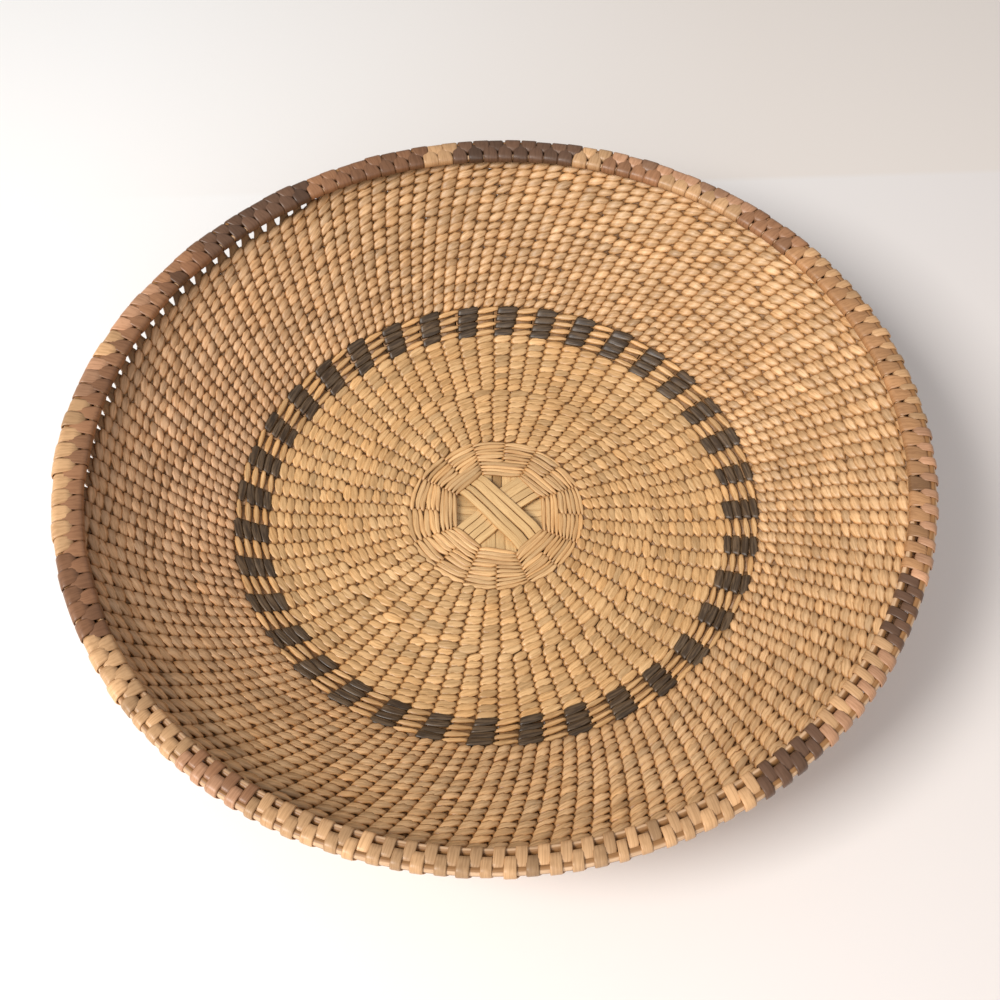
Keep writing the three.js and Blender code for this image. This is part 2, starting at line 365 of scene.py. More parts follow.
def read_back(piece: Piece, lie: np.ndarray) -> Pattern:
    """Read a modelled stretch into arrays and remove the object.

    Args:
        piece: The modelled stretch.
        lie: Each point's place across it.

    Returns:
        The stretch as a pattern.
    """
    mesh = piece.data
    faces = np.array([list(face.vertices) for face in mesh.polygons])
    pattern = Pattern(points_of(mesh), faces, lie)
    bpy.data.objects.remove(piece)
    bpy.data.meshes.remove(mesh)
    return pattern


@dataclass(frozen=True)
class StrandPattern:
    """Draws a strand out through its stations, the way one is drawn out by hand."""

    name: str
    plane: RingPlane
    flat_share: float
    stations: tuple[Station, ...]
    corners: int = 8

    def _resize(self, ratio: Iterable[float]) -> None:
        """Resize the selected section about its own middle."""
        bpy.ops.transform.resize(value=tuple(ratio))

    def _rotate(self, angle: float, middle: Triple, axis: str = "X") -> None:
        """Turn the selected section about a line through its middle, if it turns at all.

        Args:
            angle: How far it turns, in radians.
            middle: The section's middle.
            axis: The axis that the line runs along.
        """
        if abs(angle) > LEAST_TURN:
            bpy.ops.transform.rotate(
                value=-angle, orient_axis=axis, orient_type="GLOBAL", center_override=middle
            )

    def _section(self) -> Piece:
        """Make the first section: a ring, one unit wide, with a flat top and bottom.

        Returns:
            The ring, with each corner's place across the strand, which extruding carries on.
        """
        leave_nothing_selected()
        middle = self.stations[0].at
        rotation, wide, normal = self.plane.value
        half_corner = math.pi / self.corners
        outer = 0.5 / math.cos(half_corner)
        bpy.ops.mesh.primitive_circle_add(
            vertices=self.corners, radius=outer, location=middle, rotation=rotation
        )
        piece = settle(self.name)
        with edit_mode(kind="VERT"):
            self._rotate(-half_corner, middle, normal)
            bpy.ops.mesh.select_all(action="DESELECT")
        for vertex in piece.data.vertices:
            vertex.select = abs(vertex.co.z - middle[2]) > outer / 2
        wider = self.flat_share / math.tan(half_corner)
        with edit_mode(whole=False):
            self._resize(wider if axis == wide else 1.0 for axis in AXES)
        lie = piece.data.attributes.new(LIE, "FLOAT", "POINT")
        across = AXES.index(wide)
        for vertex in piece.data.vertices:
            lie.data[vertex.index].value = 2.0 * (vertex.co[across] - middle[across])
        return piece

    def model(self) -> Pattern:
        """Model the strand from its section, extruding it from station to station.

        Returns:
            The strand's points, its faces and each point's place across the strand.
        """
        piece = self._section()
        first = self.stations[0]
        with edit_mode():
            self._resize(size if size > 0 else 1.0 for size in first.size)
            self._rotate(first.turn, first.at)
            for before, after in zip(self.stations, self.stations[1:]):
                step = tuple(b - a for a, b in zip(before.at, after.at))
                bpy.ops.mesh.extrude_region_move(TRANSFORM_OT_translate={"value": step})
                self._rotate(-before.turn, after.at)
                self._resize(b / a if a > 0 else 1.0 for a, b in zip(before.size, after.size))
                self._rotate(after.turn, after.at)
        lie = np.zeros(len(piece.data.vertices), np.float32)
        piece.data.attributes[LIE].data.foreach_get("value", lie)
        return read_back(piece, lie.astype(float))


@dataclass(frozen=True)
class Stitch:
    """One strand of a twined pair, over one column on the inside and under the next.

    The two strands of a pair cross side by side between the columns, each squeezed to
    about half the course. Each stays up a little past its column, so the strands bridge
    the furrow between the columns and leave only small pits there.
    """

    width: float
    crossing_width: float
    thickness: float
    rise: float
    slant: float
    flatness: float
    flat_share: float = 0.5
    roll: float = 14.0
    places: tuple[float, ...] = (0.0, 0.12, 0.32, 0.68, 0.88)
    overlap: float = 0.3
    taper: int = 4
    straightness: int = 1

    def _stations(self) -> tuple[Station, ...]:
        """Place the sections of the strand over two columns.

        Returns:
            The sections, with the places along the strand in columns.
        """
        made = []
        for along in (*self.places, *(1 + place for place in self.places), 2.0):
            phase = math.pi * (along - 0.5)
            up = math.cos(phase) + self.overlap
            level = math.tanh(self.flatness * up) / math.tanh(self.flatness * (1 + self.overlap))
            swing = math.asin(STEADY * math.sin(phase)) / math.asin(STEADY)
            swing = math.copysign(abs(swing) ** self.straightness, swing)
            squeeze = abs(math.sin(phase)) ** self.taper
            width = between(self.width, self.crossing_width, squeeze)
            at = (along, -self.slant * swing, self.rise * level)
            made.append(Station(at, math.radians(self.roll) * swing, (0.0, width, self.thickness)))
        return tuple(made)

    def pattern(self, name: str) -> Pattern:
        """Model the stitch and return it as a pattern."""
        plane = RingPlane.ACROSS_THE_COURSE
        return StrandPattern(name, plane, self.flat_share, self._stations()).model()


class HandWobble:
    """Seeded, smooth unevenness round the basket, as hand work has."""

    def __init__(self, seed: int, strands: int, columns: int) -> None:
        """Draw one value for each strand and column."""
        drawn = np.random.default_rng(seed).normal(size=(strands, columns))
        self.values = drawn.clip(-FURTHEST, FURTHEST)

    def at(self, strand: int, column: np.ndarray) -> np.ndarray:
        """Return the value of a strand at places between its columns.

        Args:
            strand: The strand's number.
            column: Places in columns, of any size, since the strand closes on itself.

        Returns:
            The eased value at each place.
        """
        row = self.values[strand]
        before = np.floor(column).astype(int)
        share = smooth_step(column - before)
        return row[before % len(row)] * (1 - share) + row[(before + 1) % len(row)] * share


def note_down(mesh: Mesh, fibre: np.ndarray, tone: np.ndarray, dye: np.ndarray) -> None:
    """Write on a mesh the notes that a splint's finish reads.

    Args:
        mesh: The piece's mesh.
        fibre: The place along and across the strand in millimetres, and its number.
        tone: How light each point is, about 0.
        dye: The colour that the splint's own is multiplied by: its dye and its painted shade.
    """
    for name, kind, key, values in (
        (FIBRE, "FLOAT_VECTOR", "vector", fibre),
        (TONE, "FLOAT", "value", tone),
        (DYE_AND_SHADE, "FLOAT_VECTOR", "vector", dye),
    ):
        note = mesh.attributes.new(name, kind, "POINT")
        note.data.foreach_set(key, values.astype(np.float32).ravel())


def finish_piece(piece: Piece, material: Material, slot: str, *nodes: str) -> None:
    """Dress a piece and tie it to the frame.

    Args:
        piece: The finished piece, at the origin.
        material: Its material.
        slot: The record's material slot, which is only logged.
        nodes: The CAD nodes that it stands for.
    """
    piece.data.materials.clear()
    piece.data.materials.append(material)
    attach(piece, BODY)
    if nodes:
        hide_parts(*nodes)
    triangles = sum(len(face.vertices) - 2 for face in piece.data.polygons)
    log.info("%s: %d triangles, slot %s", piece.name, triangles, slot)


@dataclass
class MeshParts:
    """Points, faces and the notes a splint's finish reads, gathered before they are a mesh."""

    points: list[np.ndarray] = field(default_factory=list)
    faces: list[np.ndarray] = field(default_factory=list)
    fibre: list[np.ndarray] = field(default_factory=list)
    tone: list[np.ndarray] = field(default_factory=list)
    dye: list[np.ndarray] = field(default_factory=list)
    count: int = 0

    def add(
        self,
        points: np.ndarray,
        faces: np.ndarray,
        fibre: np.ndarray,
        tone: np.ndarray,
        dye: np.ndarray | float = 1.0,
    ) -> None:
        """Add a stretch of strand.

        Args:
            points: Its points in metres.
            faces: Its faces, as rows of point numbers of this stretch.
            fibre: The place along and across the strand in millimetres, and its number.
            tone: How light each point is, about 0.
            dye: The colour that the splint's own is multiplied by: its dye and its painted shade.
        """
        self.points.append(points)
        self.faces.append(faces + self.count)
        self.fibre.append(fibre)
        self.tone.append(tone)
        self.dye.append(np.ones((len(points), 3)) * dye)
        self.count += len(points)

    def finish(self, name: str, material: Material, slot: str, *nodes: str) -> None:
        """Make the parts one piece, weld its seams, shade it smooth and dress it.

        Args:
            name: The piece's name.
            material: Its material.
            slot: The record's material slot.
            nodes: The CAD nodes that it stands for.
        """
        mesh = bpy.data.meshes.new(name)
        faces = np.concatenate(self.faces)
        mesh.from_pydata(np.concatenate(self.points).tolist(), [], faces.tolist())
        note_down(mesh, *(np.concatenate(rows) for rows in (self.fibre, self.tone, self.dye)))
        piece = bpy.data.objects.new(name, mesh)
        bpy.context.scene.collection.objects.link(piece)
        make_active(piece)
        with edit_mode():
            bpy.ops.mesh.remove_doubles(threshold=WELD)
        bpy.ops.object.shade_smooth()
        finish_piece(piece, material, slot, *nodes)


class FinishNodes:
    """A new material and its nodes, each added with its inputs set or joined."""

    FACTOR, FIRST_COLOUR, SECOND_COLOUR, MIXED_COLOUR = 0, 6, 7, 2  # a mix node's sockets

    def __init__(self, name: str) -> None:
        """Make the material, which has its shader from the start.

        Args:
            name: Its name.
        """
        self.material = bpy.data.materials.new(name)
        self.material.use_nodes = True
        self.tree = self.material.node_tree

    def feed(self, node: bpy.types.Node, inputs: dict[str | int, object]) -> None:
        """Set a node's inputs.

        Args:
            node: The node.
            inputs: The value of each input, or the output that it is joined to.
        """
        for key, given in inputs.items():
            if isinstance(given, Socket):
                self.tree.links.new(given, node.inputs[key])
            else:
                node.inputs[key].default_value = given

    def dress(self, inputs: dict[str | int, object]) -> Material:
        """Feed the shader and return the finished material."""
        self.feed(self.tree.nodes["Principled BSDF"], inputs)
        return self.material

    def add(
        self, kind: str, inputs: dict[str | int, object] | None = None, **settings: str
    ) -> bpy.types.NodeOutputs:
        """Add a node.

        Args:
            kind: Its type, as Blender names it after ShaderNode.
            inputs: What its inputs are fed.
            settings: Its own settings.

        Returns:
            Its outputs.
        """
        node = self.tree.nodes.new(f"ShaderNode{kind}")
        for setting, choice in settings.items():
            setattr(node, setting, choice)
        self.feed(node, inputs or {})
        return node.outputs

    def note(self, name: str, output: str) -> Socket:
        """Read one of the notes written on a mesh."""
        return self.add("Attribute", attribute_name=name)[output]

    def reckon(self, operation: str, *values: object) -> Socket:
        """Reckon with numbers or outputs, and return the result."""
        return self.add("Math", dict(enumerate(values)), operation=operation)["Value"]

    def spread(self, value: Socket, start: float, end: float, most: float = 1.0) -> Socket:
        """Stretch a value between two bounds over the range from 0 up to a share.

        Args:
            value: What gives the value.
            start: The value that becomes 0.
            end: The value that becomes the share.
            most: The share.

        Returns:
            What gives the stretched value.
        """
        bounds = {"Value": value, "From Min": start, "From Max": end, "To Max": most}
        return self.add("MapRange", bounds)["Result"]

    def mix(self, blend: str, share: object, first: object, second: object) -> Socket:
        """Mix two colours.

        Args:
            blend: The way of mixing.
            share: How much of the second shows.
            first: The first colour, or what gives it.
            second: The second colour, or what gives it.

        Returns:
            What gives the mixed colour.
        """
        colours = [(*c, 1.0) if isinstance(c, tuple) else c for c in (first, second)]
        inputs = dict(zip((self.FACTOR, self.FIRST_COLOUR, self.SECOND_COLOUR), (share, *colours)))
        return self.add("Mix", inputs, data_type="RGBA", blend_type=blend)[self.MIXED_COLOUR]


@dataclass(frozen=True)
class SplintFinish:
    """Split plant fibre: its colour, its long fibres, its mottling and its soft sheen."""

    name: str
    colour: Triple
    fibre_colour: Triple
    mottle_colour: Triple
    roughness: float = 0.42
    tone_strength: float = 0.14
    mottle_share: float = 0.5
    mottle_scale: float = 38.0
    mottle_bounds: tuple[float, float] = (0.38, 0.66)
    fibre_share: float = 0.6
    fibre_scale: Triple = (0.12, 2.2, 3.1)
    fibre_bounds: tuple[float, float] = (0.44, 0.60)
    bump: float = 0.25
    bump_depth: float = 0.3

    def material(self) -> Material:
        """Build the finish as a node material.

        Returns:
            The material, which reads the strand's own notes and Object coordinates.
        """
        made = FinishNodes(self.name)
        along = {"Vector": made.note(FIBRE, "Vector"), "Scale": self.fibre_scale}
        drawn_out = made.add("Mapping", along)["Vector"]
        noise = {"Vector": drawn_out, "Scale": 1.0, "Detail": 3.0, "Roughness": 0.6}
        streaks = made.add("TexNoise", noise)["Fac"]
        place = made.add("TexCoord")["Object"]
        noise = {"Vector": place, "Scale": self.mottle_scale, "Detail": 2.0}
        clouds = made.add("TexNoise", noise)["Fac"]
        cloud = made.spread(clouds, *self.mottle_bounds, self.mottle_share)
        grain = made.spread(streaks, *self.fibre_bounds, self.fibre_share)
        mottled = made.mix("MIX", cloud, self.colour, self.mottle_colour)
        fibred = made.mix("MIX", grain, mottled, self.fibre_colour)
        dyed_and_shaded = made.mix("MULTIPLY", 1.0, fibred, made.note(DYE_AND_SHADE, "Color"))
        tone = made.note(TONE, "Fac")
        brightness = made.reckon("MULTIPLY_ADD", tone, self.tone_strength, 1.0)
        toned = made.add("HueSaturation", {"Value": brightness, "Color": dyed_and_shaded})["Color"]
        relief = {"Height": streaks, "Strength": self.bump, "Distance": self.bump_depth * MM}
        raised = made.add("Bump", relief)["Normal"]
        return made.dress({"Base Color": toned, "Normal": raised, "Roughness": self.roughness})


@dataclass(frozen=True)
class Finishes:
    """The finishes of the basket's pieces."""

    strip: SplintFinish = SplintFinish(
        name="pale_start_strip",
        colour=(0.78, 0.52, 0.25),
        fibre_colour=(0.55, 0.33, 0.14),
        mottle_colour=(0.69, 0.44, 0.19),
        fibre_share=0.5,
        bump=0.15,
    )
    binding: SplintFinish = SplintFinish(
        name="golden_binding_splint",
        colour=(0.78, 0.50, 0.24),
        fibre_colour=(0.50, 0.27, 0.11),
        mottle_colour=(0.66, 0.39, 0.17),
    )
    base: SplintFinish = SplintFinish(
        name="golden_weave_splint",
        colour=(0.74, 0.465, 0.22),
        fibre_colour=(0.40, 0.22, 0.08),
        mottle_colour=(0.64, 0.37, 0.155),
    )
    wall: SplintFinish = SplintFinish(
        name="wall_weave_splint",
        colour=(0.75, 0.475, 0.245),
        fibre_colour=(0.40, 0.225, 0.095),
        mottle_colour=(0.62, 0.37, 0.175),
        roughness=0.44,
    )
    # Its lighter fibre streaks are grain and also stand for small painted highlights.
    dark: SplintFinish = SplintFinish(
        name="dark_dyed_splint",
        colour=(0.052, 0.030, 0.014),
        fibre_colour=(0.19, 0.125, 0.07),
        mottle_colour=(0.036, 0.022, 0.012),
        fibre_share=0.5,
    )
    # The spokes' dark brown is partly their own colour and partly painted shade, where they show
    # between stitches and in the open row.
    spoke: SplintFinish = SplintFinish(
        name="bare_spoke",
        colour=(0.34, 0.18, 0.075),
        fibre_colour=(0.21, 0.10, 0.04),
        mottle_colour=(0.28, 0.14, 0.055),
        roughness=0.55,
    )
    hoop: SplintFinish = SplintFinish(
        name="bare_hoop_cane",
        colour=(0.72, 0.48, 0.29),
        fibre_colour=(0.50, 0.30, 0.16),
        mottle_colour=(0.62, 0.39, 0.22),
    )
    lashing: SplintFinish = SplintFinish(
        name="rim_lashing_splint",
        colour=(0.62, 0.375, 0.19),
        fibre_colour=(0.40, 0.22, 0.10),
        mottle_colour=(0.52, 0.30, 0.145),
        tone_strength=0.16,
    )


@dataclass(frozen=True)
class Corner:
    """A corner of the first binding's inner edge."""

    turn: float
    radius: float


@dataclass(frozen=True)
class StartOutline:
    """The uneven eight-sided inner edge of the first binding, which fades outward."""

    mean_radius: float
    fade_start: float
    fade_end: float
    corners: tuple[Corner, ...] = (
        Corner(19.2, 20.6),
        Corner(59.4, 20.0),
        Corner(104.5, 20.4),
        Corner(148.8, 19.2),
        Corner(201.2, 17.8),
        Corner(247.3, 17.8),
        Corner(290.4, 21.0),
        Corner(334.4, 20.8),
    )

    def _laid_round(self) -> tuple[np.ndarray, np.ndarray]:
        """Lay the corners round the start.

        Returns:
            Their turns and radii, with one more at each end.
        """
        turns = [corner.turn for corner in self.corners]
        radii = [corner.radius for corner in self.corners]
        turns = [turns[-1] - FULL_TURN, *turns, turns[0] + FULL_TURN]
        return np.array(turns), np.array([radii[-1], *radii, radii[0]])

    def turn_at(self, place: np.ndarray) -> np.ndarray:
        """Return the turn of a place counted in corners, of any size.

        Args:
            place: Places in corners.

        Returns:
            The turn at each, in degrees.
        """
        rounds, within = np.divmod(place, len(self.corners))
        turns, _ = self._laid_round()
        return rounds * FULL_TURN + np.interp(within, range(-1, len(self.corners) + 1), turns)

    def shift(self, turn: np.ndarray, run: np.ndarray) -> np.ndarray:
        """Find how far outward the outline pushes the courses.

        Args:
            turn: Each point's turn round the axis.
            run: Its length along the section.

        Returns:
            The change of run, along straight sides from corner to corner.
        """
        turns, radii = self._laid_round()
        within = (turn - turns[0]) % FULL_TURN + turns[0]
        side = np.clip(np.searchsorted(turns, within, side="right") - 1, 0, len(turns) - 2)
        before = np.radians(turns[side])
        after = np.radians(turns[side + 1])
        angle = np.radians(within)
        across = radii[side] * np.sin(angle - before) + radii[side + 1] * np.sin(after - angle)
        edge = radii[side] * radii[side + 1] * np.sin(after - before) / across
        fade = 1 - smooth_step((run - self.fade_start) / (self.fade_end - self.fade_start))
        return (edge - self.mean_radius) * fade


def no_lean(run: np.ndarray) -> np.ndarray:
    """Return the lean of columns that run straight out: none."""
    return np.zeros_like(run)


def even_lean(start: float, end: float, most: float) -> ByPlace:
    """Make columns lean evenly.

    Args:
        start: The run from which they lean.
        end: The run at which they have leant the most.
        most: How far they have then turned, in degrees.

    Returns:
        A function of the run that gives the lean in degrees.
    """

    def lean(run: np.ndarray) -> np.ndarray:
        """Return the lean of the columns at these runs, in degrees."""
        return most * np.maximum(run - start, 0.0) / (end - start)

    return lean


@dataclass(frozen=True)
class TwinedZone:
    """Courses of twining over a number of columns, between two runs of the bowl.

    The sways say how far the hand work drifts: sideways, in height, and in width as a
    share. The shade fields say how much painted shade, a crease's brown, a strand takes where it
    sinks and along its edges.
    """

    first_run: float
    last_run: float
    courses: int
    columns: int
    column_turn: float
    seed: int
    lean: ByPlace = no_lean
    first_share: float = 0.5
    sway: float = 0.2
    lift_sway: float = 0.12
    width_sway: float = 0.08
    height_share: float = 0.5
    stitch_tone: float = 0.6
    slow_tone: float = 0.5
    sunk_shade: float = 0.72
    shade_depth: float = 1.8
    edge_shade: float = 0.22
    edge_taper: int = 3
    most_shade: float = 1.2
    grain_step: float = 7.3
    outline: StartOutline | None = None

    @property
    def pitch(self) -> float:
        """The distance from course to course."""
        return (self.last_run - self.first_run) / self.courses

    def _turn(self, column: np.ndarray) -> np.ndarray:
        """Find the turns of places in columns, which the start's corners set near it.

        Args:
            column: Places in columns, of any size.

        Returns:
            The turn at each, in degrees, before any lean.
        """
        place = column - (self.first_share - 0.5) * np.cos(math.pi * column)
        if self.outline is None:
            return self.column_turn + (place - 0.5) * FULL_TURN / self.columns
        return self.outline.turn_at(place * len(self.outline.corners) / self.columns)

    def _painted_shade(self, pattern: Pattern) -> np.ndarray:
        """Find how much painted shade, a crease's brown, each point of the stitch takes.

        Args:
            pattern: The stitch over two columns.

        Returns:
            The share of the painted shade, more where the strand sinks and along its edges.
        """
        height = np.abs(pattern.points[:, 2])
        sunk = self.sunk_shade * smooth_step(self.shade_depth * (1 - height / height.max()))
        edge = self.edge_shade * np.abs(pattern.lie) ** self.edge_taper
        return np.clip(sunk + edge, 0.0, self.most_shade)

    def lay(
        self,
        bowl: BowlProfile,
        pattern: Pattern,
        courses: Iterable[int],
        faces: Iterable[Face] = Face,
        tint: ByPlace | None = None,
    ) -> MeshParts:
        """Lay copies of the stitch round the bowl.

        Args:
            bowl: The bowl that they lie on.
            pattern: The stitch over two columns.
            courses: The courses to lay, counted outward from 0.
            faces: The strands to lay, by the face on which each starts.
            tint: Returns the colour to multiply by at turns round the bowl, with any painted shade,
                if it changes round it.

        Returns:
            The strands, not yet a mesh.
        """
        parts = MeshParts()
        strands = 2 * self.courses
        drift, height, fatness, shade, hue = (
            HandWobble(self.seed + step, strands, self.columns) for step in (0, 1, 2, 3, 5)
        )
        slow = HandWobble(self.seed + 4, strands, max(self.columns // SLOW_COLUMNS, FEWEST_DRIFTS))
        turned = pattern.faces[:, ::-1]
        # Painted shade: a crease's brown where the strand sinks and along its edges.
        crease_shade = crease_shaded(self._painted_shade(pattern))
        for course in courses:
            base_run = self.first_run + (course + 0.5) * self.pitch
            for face in faces:
                strand = 2 * course + face.value
                for copy in range(self.columns // 2):
                    column = pattern.points[:, 0] + 2 * copy + face.value
                    swell = self.width_sway * fatness.at(strand, column)
                    across = pattern.points[:, 1] * (1 + swell)
                    run = base_run + across + self.sway * drift.at(course, column)
                    raised = pattern.points[:, 2] * (1 + self.height_share * swell)
                    raised = raised + self.lift_sway * height.at(course, column)
                    turn = self._turn(column) + self.lean(run)
                    if self.outline is not None:
                        run = run + self.outline.shift(turn, run)
                    run = run + bowl.stretch(turn, run)
                    if base_run < bowl.floor_radius:
                        raised = np.maximum(raised, -bowl.thickness / 2)
                    along = column * 2 * math.pi * base_run / self.columns
                    fibre = fibre_note(along, pattern.lie, strand * self.grain_step)
                    stitch = np.floor(column + NUDGE - face.value) + face.value
                    tone = self.stitch_tone * shade.at(strand, stitch)
                    tone = tone + self.slow_tone * slow.at(strand, column / SLOW_COLUMNS)
                    # The painted crease shade, with a random warmth for each stitch.
                    dye = crease_shade * (1 - np.outer(hue.at(strand, stitch), HUE_DRIFT))
                    if tint is not None:
                        dye = dye * tint(turn)
                    parts.add(bowl.place(turn, run, raised), turned, fibre, tone, dye)
        return parts


@dataclass(frozen=True)
class SpokeSet:
    """Flat spokes that run outward under the weave, each within its own column."""

    first_run: float
    last_run: float
    count: int
    first_turn: float
    pieces: int
    thickness: float = 1.2
    share: float = 0.93
    bare_share: float = 0.93
    bare_run: float = 0.0
    bare_fade: float = 2.5
    tone_sway: float = 0.8
    grain_step: float = 5.1
    lean: ByPlace = no_lean

    def _bar(self) -> Pattern:
        """Model one spoke lying flat, from a cube cut across into short lengths.

        Returns:
            The spoke, with its width from -1 to 1.
        """
        leave_nothing_selected()
        length = self.last_run - self.first_run
        bpy.ops.mesh.primitive_cube_add(size=1, location=(self.first_run + length / 2, 0, 0))
        bar = settle("spoke", (length, 2.0, self.thickness))
        with edit_mode(kind="EDGE"):
            bpy.ops.mesh.select_all(action="DESELECT")
        for edge in bar.data.edges:
            start, end = (bar.data.vertices[v].co for v in edge.vertices)
            edge.select = abs(start.x - end.x) > length / 2
        with edit_mode(whole=False):
            bpy.ops.mesh.subdivide(number_cuts=self.pieces - 1)
        return read_back(bar, points_of(bar.data)[:, 1])

    def lay(self, bowl: BowlProfile, parts: MeshParts, seed: int) -> None:
        """Lay the spokes on the bowl.

        Args:
            bowl: The bowl that they run along.
            parts: What they are added to.
            seed: Sets their small differences.
        """
        bar = self._bar()
        drawn = np.random.default_rng(seed)
        run = bar.points[:, 0]
        bare = smooth_step((run - self.bare_run) / self.bare_fade)
        width = between(self.share, self.bare_share, bare)
        for spoke in range(self.count):
            middle = self.lean(run) + self.first_turn + FULL_TURN / self.count * spoke
            turn = middle + bar.lie * width * FULL_TURN / self.count / 2
            fibre = fibre_note(run, bar.lie * GRAIN_ACROSS, spoke * self.grain_step)
            tone = np.full(len(run), drawn.normal() * self.tone_sway)
            parts.add(bowl.place(turn, run, bar.points[:, 2]), bar.faces, fibre, tone)


@dataclass(frozen=True)
class Strip:
    """One strip of a bundle where it shows at one arm."""

    middle: float
    width: float


@dataclass(frozen=True)
class Arm:
    """One end of a bundle: its heading, where it goes under the binding, and its strips."""

    heading: float
    reach: float
    strips: tuple[Strip, ...]


@dataclass(frozen=True)
class Tone:
    """How light a strip is towards the near and the far end of its bundle."""

    near: float
    far: float


@dataclass(frozen=True)
class Bundle:
    """Four flat strips side by side, one of the four bundles of the start cross."""

    name: str
    level: float
    near_arm: Arm
    far_arm: Arm
    tones: tuple[Tone, ...]


